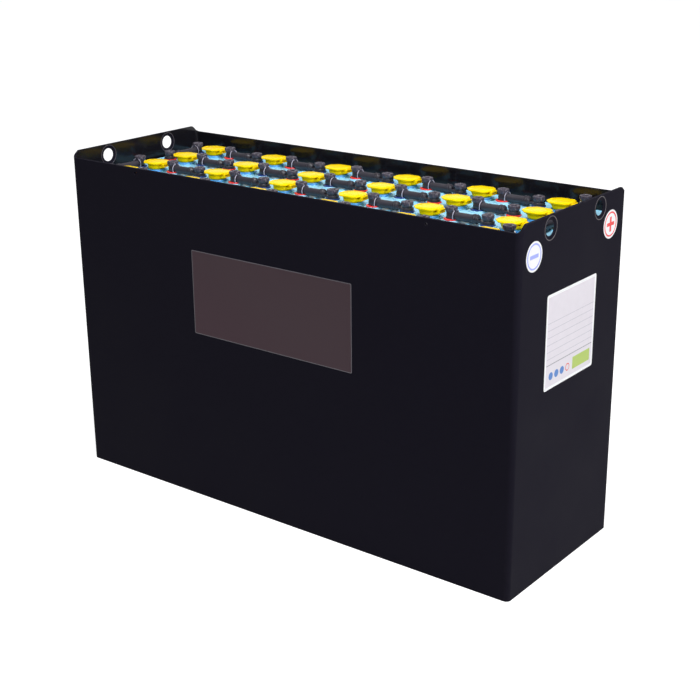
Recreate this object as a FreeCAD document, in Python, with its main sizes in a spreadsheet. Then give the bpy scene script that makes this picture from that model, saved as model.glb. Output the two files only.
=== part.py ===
import FreeCAD, Part

import os
import Sketcher
from types import SimpleNamespace

# Forklift traction battery: 24 lead-acid cells, four rows of six, in an open steel tray.
# Frame: origin at the middle of the tray's underside, X along the long walls, Z up.
# Row 1 is the front row (-Y) and column 1 the left one (-X). All lengths are millimetres.

doc = FreeCAD.newDocument("TractionBattery")

# Driving sizes

SIZES = [
    ("tray_length", 1223, "outside length of the tray"),
    ("tray_width", 425, "outside width of the tray"),
    ("tray_height", 784, "height of the end walls"),
    ("rim_drop", 15, "long walls stand this much lower than the end walls"),
    ("wall_thickness", 6, "steel of the four walls"),
    ("floor_thickness", 5, "steel of the floor"),
    ("bend_radius", 12, "outside radius of the vertical bends"),
    ("return_depth", 40, "end wall folded back along each side, from the outer face"),
    ("ear_slope_run", 20, "sloped shoulder at each top corner of an end wall"),
    ("lift_hole_radius", 15.5, "lifting hole"),
    ("lift_hole_spacing", 200, "distance between an end wall's two lifting holes"),
    ("lift_hole_drop", 26, "lifting hole below the end wall's top edge"),
    ("lift_bevel_width", 5.5, "bevelled lip round a lifting hole, across"),
    ("lift_bevel_depth", 1.5, "bevelled lip round a lifting hole, deep"),
    ("edge_hole_radius", 3, "small holes under the front wall's top edge"),
    ("edge_hole_drop", 11, "small holes below that edge"),
    ("edge_hole_left", 400, "left small hole from the middle"),
    ("edge_hole_right", 400, "right small hole from the middle"),
    ("end_packing_thickness", 11.4, "packing sheet between the cells and an end wall"),
    ("side_packing_thickness", 4.4, "packing sheet between the cells and a long wall"),
    ("packing_clearance", 0.3, "each face of a packing sheet"),
    ("packing_inset", 10, "packing sheets stop this far from the row's corners"),
    ("packing_height", 660, "packing sheets above the floor"),
    ("cell_gap", 1, "gap between neighbouring cells"),
    ("cell_height", 703, "tray floor to the cell's cover"),
    ("cover_rim_height", 2, "raised rim round the cover"),
    ("cover_rim_width", 3, "raised rim round the cover, across"),
    ("flange_radius", 30, "flange round the filler neck"),
    ("flange_height", 2, "flange round the filler neck"),
    ("neck_radius", 23, "filler neck outside"),
    ("neck_height", 11, "filler neck above the cover"),
    ("pole_offset", 55, "pole axis from the cell's middle"),
    ("pole_ring_radius", 18, "coloured ring round a pole"),
    ("pole_ring_height", 3, "coloured ring round a pole"),
    ("plug_foot_radius", 21.5, "vent plug at the neck"),
    ("plug_top_radius", 24, "vent plug at its top"),
    ("plug_height", 21, "vent plug above the neck"),
    ("filler_bore_radius", 13, "filling hole through the plug"),
    ("hinge_offset", 30, "lid's hinge axis from the cell's middle"),
    ("hinge_barrel_radius", 2.8, "lid's hinge barrel"),
    ("hinge_half_width", 8, "half the length of the hinge barrel"),
    ("hinge_ear_thickness", 3, "plug's hinge ears, along the hinge"),
    ("hinge_ear_half_depth", 3, "plug's hinge ears, each side of the axis"),
    ("hinge_side_gap", 0.3, "gap between barrel and ear"),
    ("hinge_arm_depth", 9, "plug's hinge arm below the plug's top"),
    ("lid_gap", 0.3, "gap under the closed lid"),
    ("lid_thickness", 7.7, "flip lid"),
    ("lid_bevel", 1.6, "bevel round the lid's top"),
    ("lid_tab_reach", 31, "thumb tab from the cell's middle"),
    ("lid_tab_half_width", 11, "half the thumb tab's width"),
    ("lid_half_width", 27, "half the lid's width"),
    ("lid_side_half_length", 16, "half of each long side"),
    ("lid_shoulder_reach", 24, "shoulder beside the hinge tongue"),
    ("lid_shoulder_half_width", 17, "half the lid's width at that shoulder"),
    ("boot_radius", 11.5, "pole housing of a connector"),
    ("boot_height", 33, "pole housing of a connector"),
    ("cable_radius", 7, "insulated connector cable"),
    ("cable_rise", 24, "cable axis above the pole ring"),
    ("mouth_root_radius", 7.6, "bell mouth where it leaves the first pole housing"),
    ("mouth_radius", 10.5, "bell mouth at its rim"),
    ("mouth_reach", 14, "bell mouth's rim from the first pole"),
    ("mouth_length", 7, "bell mouth"),
    ("collar_radius", 10, "collar's wide end"),
    ("collar_root_radius", 7.2, "collar's narrow end"),
    ("collar_reach", 34, "collar's wide end from the second pole"),
    ("collar_length", 17, "collar"),
    ("boot_neck_width", 15, "flat neck from collar to second pole, across"),
    ("boot_neck_height", 11, "flat neck from collar to second pole, high"),
    ("bolt_head_radius", 12, "insulated bolt head"),
    ("bolt_head_height", 10, "insulated bolt head"),
    ("takeoff_foot_radius", 14, "take-off pole's foot"),
    ("takeoff_foot_height", 6, "take-off pole's foot"),
    ("takeoff_post_radius", 8, "take-off pole's post"),
    ("takeoff_washer_radius", 12.5, "washer under the take-off bolt"),
    ("takeoff_washer_height", 3, "washer under the take-off bolt"),
]
ROWS = 4
COLUMNS = 6
ROUND_SIDES = 12
OVERCUT = 5

sheet = doc.addObject("Spreadsheet::Sheet", "Sizes")
for line, (alias, value, note) in enumerate(SIZES, start=1):
    sheet.set(f"A{line}", note)
    sheet.set(f"B{line}", str(value))
    sheet.setAlias(f"B{line}", alias)
doc.recompute()


class Length:
    """A length with its expression for the document and its present value."""

    def __init__(self, text, value):
        self.text = text
        self.value = value

    def __add__(self, other):
        other = as_length(other)
        return Length(f"({self.text} + {other.text})", self.value + other.value)

    def __sub__(self, other):
        other = as_length(other)
        return Length(f"({self.text} - {other.text})", self.value - other.value)

    def __mul__(self, factor):
        return Length(f"({self.text} * {factor})", self.value * factor)

    def __truediv__(self, divisor):
        return Length(f"({self.text} / {divisor})", self.value / divisor)

    def __neg__(self):
        return self * -1

    __radd__ = __add__
    __rmul__ = __mul__


def as_length(item):
    return item if isinstance(item, Length) else Length(f"{item}", item)


s = SimpleNamespace(**{alias: Length(f"Sizes.{alias}", sheet.get(alias)) for alias, value, note in SIZES})

# Places worked out from the driving sizes

half_length = s.tray_length / 2
half_width = s.tray_width / 2
long_wall_height = s.tray_height - s.rim_drop
block_half_length = (
    half_length - s.wall_thickness - s.end_packing_thickness - s.packing_clearance * 2)
block_half_width = (
    half_width - s.wall_thickness - s.side_packing_thickness - s.packing_clearance * 2)
pitch_x = (block_half_length * 2 + s.cell_gap) / COLUMNS
pitch_y = (block_half_width * 2 + s.cell_gap) / ROWS
cell_half_length = (pitch_x - s.cell_gap) / 2
cell_half_width = (pitch_y - s.cell_gap) / 2
cover_level = s.floor_thickness + s.cell_height
neck_level = cover_level + s.neck_height
lid_level = neck_level + s.plug_height + s.lid_gap
ring_level = cover_level + s.pole_ring_height
bolt_level = ring_level + s.boot_height
lift_hole_level = s.tray_height - s.lift_hole_drop


def column_x(column):
    return pitch_x * (column - (COLUMNS + 1) / 2)


def row_y(row):
    return pitch_y * (row - (ROWS + 1) / 2)


def positive_on_right(row):
    """Cells of the back row and every second row before it have their plus pole on the right."""
    return (ROWS - row) % 2 == 0


# Helpers for bound properties, sketches and bodies

def bind(item, **lengths):
    """Bind properties to lengths; a double underscore stands for the dot of a path."""
    for path, length in lengths.items():
        item.setExpression(path.replace("__", "."), as_length(length).text)


def place(item, x=0, y=0, z=0, axis=None, angle=0):
    """Bind an object's position, turned by a fixed angle about an axis where one is given."""
    if axis:
        item.Placement.Rotation = FreeCAD.Rotation(FreeCAD.Vector(*axis), angle)
    bind(item, Placement__Base__x=x, Placement__Base__y=y, Placement__Base__z=z)


def new_body(name):
    return doc.addObject("PartDesign::Body", name)


def new_sketch(body, name, role, along=0, up=0):
    """Attach a sketch to one of its body's own origin planes, moved along its normal and up."""
    sketch = body.newObject("Sketcher::SketchObject", name)
    plane = next(part for part in body.Origin.OriginFeatures if part.Role == role)
    sketch.AttachmentSupport = [(plane, "")]
    sketch.MapMode = "FlatFace"
    bind(sketch, AttachmentOffset__Base__y=up, AttachmentOffset__Base__z=along)
    return sketch


def hold(sketch, geometry, point, x, y):
    """Hold a point of a sketch at bound distances from the sketch's origin."""
    for direction, distance in (("DistanceX", x), ("DistanceY", y)):
        distance = as_length(distance)
        constraint = Sketcher.Constraint(direction, -1, 1, geometry, point, distance.value)
        index = sketch.addConstraint(constraint)
        sketch.setExpression(f"Constraints[{index}]", distance.text)


def polygon(sketch, points):
    """Draw a closed outline through points given as pairs of lengths."""
    corners = [(as_length(x), as_length(y)) for x, y in points]
    vectors = [FreeCAD.Vector(x.value, y.value, 0) for x, y in corners]
    first = sketch.GeometryCount
    count = len(corners)
    for index in range(count):
        sketch.addGeometry(Part.LineSegment(vectors[index], vectors[(index + 1) % count]), False)
    for index in range(count):
        following = first + (index + 1) % count
        sketch.addConstraint(Sketcher.Constraint("Coincident", first + index, 2, following, 1))
    for index, (x, y) in enumerate(corners):
        hold(sketch, first + index, 1, x, y)


def rectangle(sketch, x_low, x_high, y_low, y_high):
    polygon(sketch, [(x_low, y_low), (x_high, y_low), (x_high, y_high), (x_low, y_high)])


def circle(sketch, x, y, radius):
    centre = FreeCAD.Vector(as_length(x).value, as_length(y).value, 0)
    index = sketch.addGeometry(Part.Circle(centre, FreeCAD.Vector(0, 0, 1), radius.value), False)
    hold(sketch, index, 3, x, y)
    size = sketch.addConstraint(Sketcher.Constraint("Radius", index, radius.value))
    sketch.setExpression(f"Constraints[{size}]", radius.text)


def pad(body, name, sketch, length, midplane=False):
    feature = body.newObject("PartDesign::Pad", name)
    feature.Profile = sketch
    feature.Midplane = midplane
    bind(feature, Length=length)
    return feature


def check_cut(feature):
    """Recompute and make sure that a cutting feature took material away."""
    doc.recompute()
    if not feature.Shape.Volume < feature.BaseFeature.Shape.Volume:
        raise RuntimeError(f"{feature.Name} cuts nothing")
    return feature


def pocket(body, name, sketch, length=None, midplane=False):
    feature = body.newObject("PartDesign::Pocket", name)
    feature.Profile = sketch
    feature.Midplane = midplane
    if length is None:
        feature.Type = "ThroughAll"
    else:
        bind(feature, Length=length)
    return check_cut(feature)


def edges_where(feature, test):
    """Name a feature's edges that pass a test."""
    doc.recompute()
    edges = feature.Shape.Edges
    return [f"Edge{number}" for number, edge in enumerate(edges, start=1) if test(edge)]


def upright(edge):
    a, b = edge.Vertexes[0].Point, edge.Vertexes[-1].Point
    return abs(a.x - b.x) < 0.01 and abs(a.y - b.y) < 0.01


def fillet(body, name, base, test, radius):
    feature = body.newObject("PartDesign::Fillet", name)
    feature.Base = (base, edges_where(base, test))
    bind(feature, Radius=radius)
    return feature


def part_object(kind, name, **lengths):
    item = doc.addObject(kind, name)
    bind(item, **lengths)
    return item


def copy_of(form, name, x=0, y=0, z=0, axis=None, angle=0):
    """Place one more of a form that is drawn once."""
    item = doc.addObject("Part::Compound", name)
    item.Links = [form]
    place(item, x, y, z, axis, angle)
    return item


def group(name, members):
    item = doc.addObject("Part::Compound", name)
    item.Links = members
    return item


# End walls: steel folded round both corners, with sloped shoulders and two lifting holes

def end_wall_form():
    body = new_body("end_wall_form")
    inner = half_length - s.wall_thickness
    fold_end = half_length - s.return_depth

    footprint = new_sketch(body, "end_wall_footprint", "XY_Plane")
    rectangle(footprint, fold_end, half_length, -half_width, half_width)
    blank = pad(body, "end_wall_blank", footprint, s.tray_height)
    outer_bend = fillet(
        body, "end_wall_outer_bend", blank,
        lambda edge: upright(edge) and edge.CenterOfMass.x > half_length.value - 1,
        s.bend_radius,
    )

    hollow = new_sketch(body, "end_wall_hollow", "XY_Plane")
    side = half_width - s.wall_thickness
    rectangle(hollow, fold_end - OVERCUT, inner, -side, side)
    folded = body.newObject("PartDesign::Pocket", "end_wall_inside")
    folded.Profile = hollow
    folded.Type = "ThroughAll"
    folded.Reversed = True
    check_cut(folded)
    inner_bend = fillet(
        body, "end_wall_inner_bend", folded,
        lambda edge: upright(edge) and abs(edge.CenterOfMass.x - inner.value) < 0.01,
        s.bend_radius - s.wall_thickness,
    )

    shoulders = new_sketch(body, "end_wall_shoulders", "YZ_Plane")
    above = s.tray_height + OVERCUT
    for sign in (-1, 1):
        polygon(shoulders, [
            (half_width * sign, long_wall_height),
            ((half_width + OVERCUT) * sign, long_wall_height),
            ((half_width + OVERCUT) * sign, above),
            ((half_width - s.ear_slope_run) * sign, above),
            ((half_width - s.ear_slope_run) * sign, s.tray_height),
        ])
    pocket(body, "end_wall_sloped", shoulders, midplane=True)

    fold_tops = new_sketch(body, "end_wall_fold_tops", "XZ_Plane")
    rectangle(fold_tops, fold_end - OVERCUT, half_length - s.bend_radius, long_wall_height, above)
    pocket(body, "end_wall_lowered", fold_tops, midplane=True)

    for side_name, sign in (("front", -1), ("back", 1)):
        profile = new_sketch(
            body, f"lifting_hole_{side_name}_profile", "XZ_Plane",
            along=s.lift_hole_spacing * (-0.5 * sign), up=lift_hole_level,
        )
        lip = s.lift_hole_radius + s.lift_bevel_width
        polygon(profile, [
            (inner - OVERCUT, 0),
            (half_length + OVERCUT, 0),
            (half_length + OVERCUT, lip),
            (half_length, lip),
            (half_length - s.lift_bevel_depth, s.lift_hole_radius),
            (inner + s.lift_bevel_depth, s.lift_hole_radius),
            (inner, lip),
            (inner - OVERCUT, lip),
        ])
        hole = body.newObject("PartDesign::Groove", f"lifting_hole_{side_name}")
        hole.Profile = profile
        hole.ReferenceAxis = (profile, ["H_Axis"])
        hole.Angle = 360
        check_cut(hole)
    return body


# Long walls and floor

def long_wall(name, along, holes):
    body = new_body(name)
    outline = new_sketch(body, f"{name}_outline", "XZ_Plane", along=along)
    end = half_length - s.return_depth
    rectangle(outline, -end, end, 0, long_wall_height)
    for x in holes:
        circle(outline, x, long_wall_height - s.edge_hole_drop, s.edge_hole_radius)
    pad(body, f"{name}_plate", outline, s.wall_thickness)
    return body


def tray_floor():
    body = new_body("tray_floor")
    outline = new_sketch(body, "tray_floor_outline", "XY_Plane")
    x, y = half_length - s.wall_thickness, half_width - s.wall_thickness
    rectangle(outline, -x, x, -y, y)
    plate = pad(body, "tray_floor_plate", outline, s.floor_thickness)
    fillet(body, "tray_floor_corners", plate, upright, s.bend_radius - s.wall_thickness)
    return body


def packing_sheets():
    """Four plastic sheets that wedge the block of cells against the walls."""
    sheets = []
    end_half = block_half_width - s.packing_inset
    side_half = block_half_length - s.packing_inset
    for name, sign in (("left", -1), ("right", 1)):
        thickness = s.end_packing_thickness
        item = part_object("Part::Box", f"packing_{name}", Length=thickness, Width=end_half * 2,
                           Height=s.packing_height)
        low = block_half_length + s.packing_clearance
        place(item, low if sign > 0 else -(low + thickness), -end_half, s.floor_thickness)
        sheets.append(item)
    for name, sign in (("front", -1), ("back", 1)):
        thickness = s.side_packing_thickness
        item = part_object("Part::Box", f"packing_{name}", Length=side_half * 2, Width=thickness,
                           Height=s.packing_height)
        low = block_half_width + s.packing_clearance
        place(item, -side_half, low if sign > 0 else -(low + thickness), s.floor_thickness)
        sheets.append(item)
    return group("packing_sheets", sheets)


# One cell: jar with its welded cover, raised rim, filler neck and the neck's flange

def cell_form():
    body = new_body("cell_form")
    x, y = cell_half_length, cell_half_width
    outline = new_sketch(body, "cell_outline", "XY_Plane")
    rectangle(outline, -x, x, -y, y)
    pad(body, "cell_jar", outline, s.cell_height + s.cover_rim_height)

    inside = new_sketch(body, "cover_inside", "XY_Plane", along=s.cell_height + s.cover_rim_height)
    x, y = x - s.cover_rim_width, y - s.cover_rim_width
    rectangle(inside, -x, x, -y, y)
    pocket(body, "cell_cover", inside, s.cover_rim_height)

    for name, radius, height in (
            ("neck_flange", s.flange_radius, s.flange_height),
            ("filler_neck", s.neck_radius, s.neck_height)):
        outline = new_sketch(body, f"{name}_outline", "XY_Plane", along=s.cell_height)
        circle(outline, 0, 0, radius)
        pad(body, name, outline, height)
    return body


# Vent plug: tapered tube with a filling hole and a two-eared hinge bracket

def plug_form():
    body = new_body("plug_form")
    wall = new_sketch(body, "plug_wall", "XZ_Plane")
    polygon(wall, [
        (s.filler_bore_radius, 0),
        (s.plug_foot_radius, 0),
        (s.plug_top_radius, s.plug_height),
        (s.filler_bore_radius, s.plug_height),
    ])
    turned = body.newObject("PartDesign::Revolution", "plug_tube")
    turned.Profile = wall
    turned.ReferenceAxis = (wall, ["V_Axis"])
    turned.Angle = 360

    bracket = new_sketch(body, "hinge_bracket_side", "XZ_Plane")
    ear_top = s.plug_height + s.lid_gap + s.hinge_barrel_radius * 2
    ear_low, ear_high = s.hinge_offset - s.hinge_ear_half_depth, s.hinge_offset + s.hinge_ear_half_depth
    root = s.filler_bore_radius + (s.plug_foot_radius - s.filler_bore_radius) * 0.5
    polygon(bracket, [
        (root, s.plug_height - s.hinge_arm_depth),
        (ear_high, s.plug_height - s.hinge_ear_half_depth),
        (ear_high, ear_top),
        (ear_low, ear_top),
        (ear_low, s.plug_height),
        (root, s.plug_height),
    ])
    slot_width = (s.hinge_half_width + s.hinge_side_gap) * 2
    pad(body, "hinge_bracket", bracket, slot_width + s.hinge_ear_thickness * 2, midplane=True)

    slot = new_sketch(body, "hinge_slot_side", "XZ_Plane")
    rectangle(slot, ear_low - OVERCUT, ear_high + OVERCUT, s.plug_height, ear_top + OVERCUT)
    pocket(body, "hinge_slot", slot, slot_width, midplane=True)
    return body


# Flip lid: flat cap with a thumb tab on its left and a hinge tongue on its right

def lid_form():
    body = new_body("lid_form")
    outline = new_sketch(body, "lid_outline", "XY_Plane")
    back = [
        (-s.lid_tab_reach, s.lid_tab_half_width),
        (-s.lid_side_half_length, s.lid_half_width),
        (s.lid_side_half_length, s.lid_half_width),
        (s.lid_shoulder_reach, s.lid_shoulder_half_width),
        (s.lid_shoulder_reach, s.hinge_half_width),
        (s.hinge_offset, s.hinge_half_width),
    ]
    front = [(x, -y) for x, y in reversed(back)]
    polygon(outline, back + front)
    plate = pad(body, "lid_plate", outline, s.lid_thickness)
    bevel = body.newObject("PartDesign::Chamfer", "lid_top_bevel")
    bevel.Base = (plate, edges_where(
        plate, lambda edge: edge.BoundBox.ZMin > s.lid_thickness.value - 0.01))
    bind(bevel, Size=s.lid_bevel)

    knuckle = new_sketch(body, "lid_knuckle_side", "XZ_Plane")
    circle(knuckle, s.hinge_offset, s.hinge_barrel_radius, s.hinge_barrel_radius)
    pad(body, "lid_knuckle", knuckle, s.hinge_half_width * 2, midplane=True)
    return body


# Cell connector: insulated cable between two pole housings, drawn along X from its first pole

def connector_form(name, span):
    first = part_object("Part::Prism", f"{name}_first_housing", Circumradius=s.boot_radius,
                        Height=s.boot_height)
    second = part_object("Part::Prism", f"{name}_second_housing", Circumradius=s.boot_radius,
                         Height=s.boot_height)
    for housing, x in ((first, 0), (second, span)):
        housing.Polygon = ROUND_SIDES
        place(housing, x)

    across = (0, 1, 0)
    mouth = part_object("Part::Cone", f"{name}_bell_mouth", Radius1=s.mouth_root_radius,
                        Radius2=s.mouth_radius, Height=s.mouth_length)
    place(mouth, s.mouth_reach - s.mouth_length, 0, s.cable_rise, across, 90)
    cable = part_object("Part::Cylinder", f"{name}_cable", Radius=s.cable_radius,
                        Height=span - s.collar_reach + s.collar_length * 0.5)
    place(cable, 0, 0, s.cable_rise, across, 90)
    collar = part_object("Part::Cone", f"{name}_collar", Radius1=s.collar_radius,
                         Radius2=s.collar_root_radius, Height=s.collar_length)
    place(collar, span - s.collar_reach, 0, s.cable_rise, across, 90)
    neck = part_object("Part::Box", f"{name}_neck", Length=s.collar_reach - s.collar_length * 0.5,
                       Width=s.boot_neck_width, Height=s.boot_neck_height)
    place(neck, span - s.collar_reach + s.collar_length * 0.5, s.boot_neck_width * -0.5,
          s.cable_rise - s.boot_neck_height * 0.5)

    whole = doc.addObject("Part::MultiFuse", name)
    whole.Shapes = [first, second, mouth, cable, collar, neck]
    whole.Refine = True
    return whole


# Small round pieces, drawn with a few flat sides because there are so many of them

def many_sided(name, radius, height):
    item = part_object("Part::Prism", name, Circumradius=radius, Height=height)
    item.Polygon = ROUND_SIDES
    return item


def takeoff_form():
    """A bare pole with the washer on which a cable lug is bolted."""
    foot = part_object("Part::Cylinder", "takeoff_foot", Radius=s.takeoff_foot_radius,
                       Height=s.takeoff_foot_height)
    post = part_object("Part::Cylinder", "takeoff_post", Radius=s.takeoff_post_radius,
                       Height=s.boot_height)
    washer = part_object("Part::Cylinder", "takeoff_washer", Radius=s.takeoff_washer_radius,
                         Height=s.takeoff_washer_height)
    place(washer, z=s.boot_height - s.takeoff_washer_height)
    whole = doc.addObject("Part::MultiFuse", "takeoff_form")
    whole.Shapes = [foot, post, washer]
    whole.Refine = True
    return whole


# Build the tray

wall_form = end_wall_form()
nodes = [
    copy_of(wall_form, "end_wall_right"),
    copy_of(wall_form, "end_wall_left", axis=(0, 0, 1), angle=180),
    long_wall("long_wall_front", half_width - s.wall_thickness, [-s.edge_hole_left, s.edge_hole_right]),
    long_wall("long_wall_back", -half_width, []),
    tray_floor(),
    packing_sheets(),
]

# Fill the tray with cells, plugs and lids

cell = cell_form()
plug = plug_form()
lid = lid_form()
plugs = []
for row in range(1, ROWS + 1):
    for column in range(1, COLUMNS + 1):
        x, y = column_x(column), row_y(row)
        mark = f"r{row}_c{column}"
        nodes.append(copy_of(cell, f"cell_{mark}", x, y, s.floor_thickness))
        plugs.append(copy_of(plug, f"vent_plug_{mark}", x, y, neck_level))
        nodes.append(copy_of(lid, f"vent_lid_{mark}", x, y, lid_level))
nodes.append(group("vent_plugs", plugs))

# Connect the cells in series: along each row, and across at the row ends in turn

pole_gap = pitch_x - s.pole_offset * 2
along_row = connector_form("row_connector", pole_gap)
across_rows = connector_form("cross_connector", pitch_y)
connectors = []
for row in range(1, ROWS + 1):
    for column in range(1, COLUMNS):
        connectors.append(copy_of(
            along_row, f"connector_r{row}_c{column}",
            column_x(column) + s.pole_offset, row_y(row), ring_level))
for row in range(ROWS, 1, -1):
    at_left = positive_on_right(row)
    x = column_x(1) - s.pole_offset if at_left else column_x(COLUMNS) + s.pole_offset
    connectors.append(copy_of(
        across_rows, f"connector_r{row}_r{row - 1}", x, row_y(row), ring_level, (0, 0, 1), -90))
nodes.append(group("cell_connectors", connectors))

# Pole rings and insulated bolts on all poles, bare take-off poles at the ends of the series

ring = many_sided("pole_ring_form", s.pole_ring_radius, s.pole_ring_height)
bolt = many_sided("bolt_form", s.bolt_head_radius, s.bolt_head_height)
rings = {"positive": [], "negative": []}
bolts = []
for row in range(1, ROWS + 1):
    for column in range(1, COLUMNS + 1):
        for side_name, sign in (("left", -1), ("right", 1)):
            x, y = column_x(column) + s.pole_offset * sign, row_y(row)
            pole = "positive" if positive_on_right(row) == (sign > 0) else "negative"
            mark = f"r{row}_c{column}_{side_name}"
            rings[pole].append(copy_of(ring, f"ring_{mark}", x, y, cover_level))
            bolts.append(copy_of(bolt, f"bolt_{mark}", x, y, bolt_level))
nodes.append(group("positive_pole_rings", rings["positive"]))
nodes.append(group("negative_pole_rings", rings["negative"]))
nodes.append(group("pole_bolts", bolts))

takeoff = takeoff_form()
takeoff_x = column_x(COLUMNS) + s.pole_offset
nodes.append(group("takeoff_terminals", [
    copy_of(takeoff, "takeoff_negative", takeoff_x, row_y(1), ring_level),
    copy_of(takeoff, "takeoff_positive", takeoff_x, row_y(ROWS), ring_level),
]))

# Check every object, then write one file for each sub-part

doc.recompute()
for item in doc.Objects:
    if "Invalid" in item.State or "Error" in item.State:
        raise RuntimeError(f"{item.Name} could not be worked out: {item.State}")
for node in nodes:
    if node.Shape.isNull() or not node.Shape.isValid() or not node.Shape.Solids:
        raise RuntimeError(f"{node.Label} has no valid solid")

os.makedirs("parts", exist_ok=True)
for node in nodes:
    solids = node.Shape.Solids
    shape = solids[0] if len(solids) == 1 else Part.makeCompound(solids)
    shape.exportStep(f"parts/{node.Label}.step")
print(f"{len(nodes)} sub-parts written")
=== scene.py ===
"""Looks of a forklift traction battery: an open steel tray with 24 cells, vent plugs, lids and connectors.

Metres, Z up, X along the long walls. Row 1 is the front row (-Y), column 1 the left one (-X).
"""

import math

import bmesh
import bpy
from bpy.props import FloatProperty, FloatVectorProperty, PointerProperty
from mathutils import Matrix, Vector


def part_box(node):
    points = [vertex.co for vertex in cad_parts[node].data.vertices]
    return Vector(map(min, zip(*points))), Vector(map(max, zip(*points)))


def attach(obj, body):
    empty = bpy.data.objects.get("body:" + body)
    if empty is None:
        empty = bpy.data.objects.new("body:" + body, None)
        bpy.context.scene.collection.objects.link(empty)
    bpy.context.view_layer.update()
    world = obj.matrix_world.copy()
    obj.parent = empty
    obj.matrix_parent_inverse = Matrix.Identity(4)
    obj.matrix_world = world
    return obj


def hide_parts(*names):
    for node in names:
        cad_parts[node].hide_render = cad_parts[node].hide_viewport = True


bl_info = {
    "name": "Traction battery",
    "version": (1, 0, 0),
    "blender": (4, 5, 0),
    "location": "3D View > Sidebar > Battery",
    "description": "Builds the pieces, finishes and stage of a forklift traction battery",
    "category": "Object",
}

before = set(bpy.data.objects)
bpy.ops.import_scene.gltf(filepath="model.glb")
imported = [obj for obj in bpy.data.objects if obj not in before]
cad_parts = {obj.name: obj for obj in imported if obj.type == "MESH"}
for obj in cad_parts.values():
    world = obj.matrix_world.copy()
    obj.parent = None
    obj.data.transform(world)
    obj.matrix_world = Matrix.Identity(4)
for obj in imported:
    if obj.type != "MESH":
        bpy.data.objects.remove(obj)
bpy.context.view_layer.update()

ROWS = 4
COLUMNS = 6
BODY = "battery"

TRAY_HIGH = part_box("end_wall_right")[1]
HALF_LENGTH = TRAY_HIGH.x
HALF_WIDTH = TRAY_HIGH.y
TRAY_HEIGHT = TRAY_HIGH.z
LONG_WALL_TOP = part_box("long_wall_front")[1].z
CELL_LOW, CELL_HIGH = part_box("cell_r1_c1")
FLOOR_TOP = CELL_LOW.z
CELL_SIZE = CELL_HIGH - CELL_LOW
LID_LOW, LID_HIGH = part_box("vent_lid_r1_c1")


def middle(node):
    """Middle of a CAD node's box."""
    low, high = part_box(node)
    return (low + high) / 2


CELL_PLACES = {
    (row, column): middle(f"cell_r{row}_c{column}")
    for row in range(1, ROWS + 1)
    for column in range(1, COLUMNS + 1)
}
PITCH_X = CELL_PLACES[1, 2].x - CELL_PLACES[1, 1].x
PITCH_Y = CELL_PLACES[2, 1].y - CELL_PLACES[1, 1].y


# Sizes and colours that a user would change

def length(name, description, default):
    return FloatProperty(name=name, description=description, default=default, min=0.0, max=5.0,
                         unit="LENGTH", subtype="DISTANCE", precision=4)


def colour(name, description, default):
    return FloatVectorProperty(name=name, description=description, default=default, size=3,
                               min=0.0, max=1.0, subtype="COLOR")


def turn(name, description, degrees):
    return FloatProperty(name=name, description=description, default=math.radians(degrees),
                         unit="ROTATION", subtype="ANGLE")


class TraySettings(bpy.types.PropertyGroup):
    wall: length("Wall", "Steel of the walls", 0.006)
    face_inset: length("Face inset", "Room for foils outside the walls", 0.0004)
    bend: length("Bend", "Outside radius of the vertical bends", 0.012)
    shoulder_run: length("Shoulder", "Width of the sloped shoulders", 0.020)
    edge_round: length("Edge round", "Rounding of the sheet's edges", 0.0009)
    hole_radius: length("Lifting hole", "Radius of a lifting hole", 0.0155)
    lip_radius: length("Lip", "Outer radius of a lifting hole's bevelled lip", 0.0232)
    lip_depth: length("Lip depth", "Depth of that lip", 0.0024)
    hole_spacing: length("Hole spacing", "Distance between two lifting holes", 0.200)
    hole_drop: length("Hole drop", "Lifting hole below the end wall's top", 0.026)
    small_hole: length("Small hole", "Radius of the holes in the front wall", 0.003)
    small_hole_reach: length("Small hole reach", "Small holes from the middle", 0.400)
    small_hole_drop: length("Small hole drop", "Small holes below the edge", 0.011)
    coat: colour("Coat", "Powder coat outside", (0.0102, 0.0092, 0.0158))
    inner_coat: colour("Inner coat", "Acid-proof coat inside", (0.0075, 0.0070, 0.0095))


class CellSettings(bpy.types.PropertyGroup):
    cover_top: length("Cover top", "Sunken face of the cover above the floor", 0.7240)
    rim_height: length("Rim height", "Raised rim above that face", 0.0020)
    rim_width: length("Rim", "Width of the cover's raised rim", 0.0030)
    neck_radius: length("Neck", "Radius of the filler neck", 0.0228)
    neck_top: length("Neck top", "Top of the filler neck above the floor", 0.7310)
    flange_radius: length("Flange", "Radius of the neck's toothed flange", 0.0275)
    flange_height: length("Flange height", "Height of the neck's flange", 0.0016)
    boss_height: length("Boss height", "Pole boss above the cover", 0.0035)
    pole_offset: length("Pole", "Pole from the cell's middle", 0.055)
    cover: colour("Cover", "Moulded cover and jar", (0.300, 0.610, 0.800))
    rim: colour("Rim colour", "Welded rim of the cover", (0.240, 0.640, 0.920))
    neck: colour("Neck", "Filler neck", (0.110, 0.430, 0.960))


class VentSettings(bpy.types.PropertyGroup):
    foot_radius: length("Foot", "Plug at its rounded foot", 0.0170)
    top_radius: length("Top", "Plug at its top", 0.0207)
    bore: length("Bore", "Filling hole", 0.0130)
    plate_height: length("Lid plate", "Thickness of the lid's overhanging plate", 0.0036)
    hinge_offset: length("Hinge", "Hinge axis from the plug's middle", 0.030)
    barrel: length("Barrel", "Radius of the hinge barrel", 0.0028)
    barrel_half: length("Barrel half", "Half the length of the barrel", 0.008)
    yellow: colour("Yellow", "Moulded plugs and lids", (1.0, 0.660, 0.0))


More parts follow.
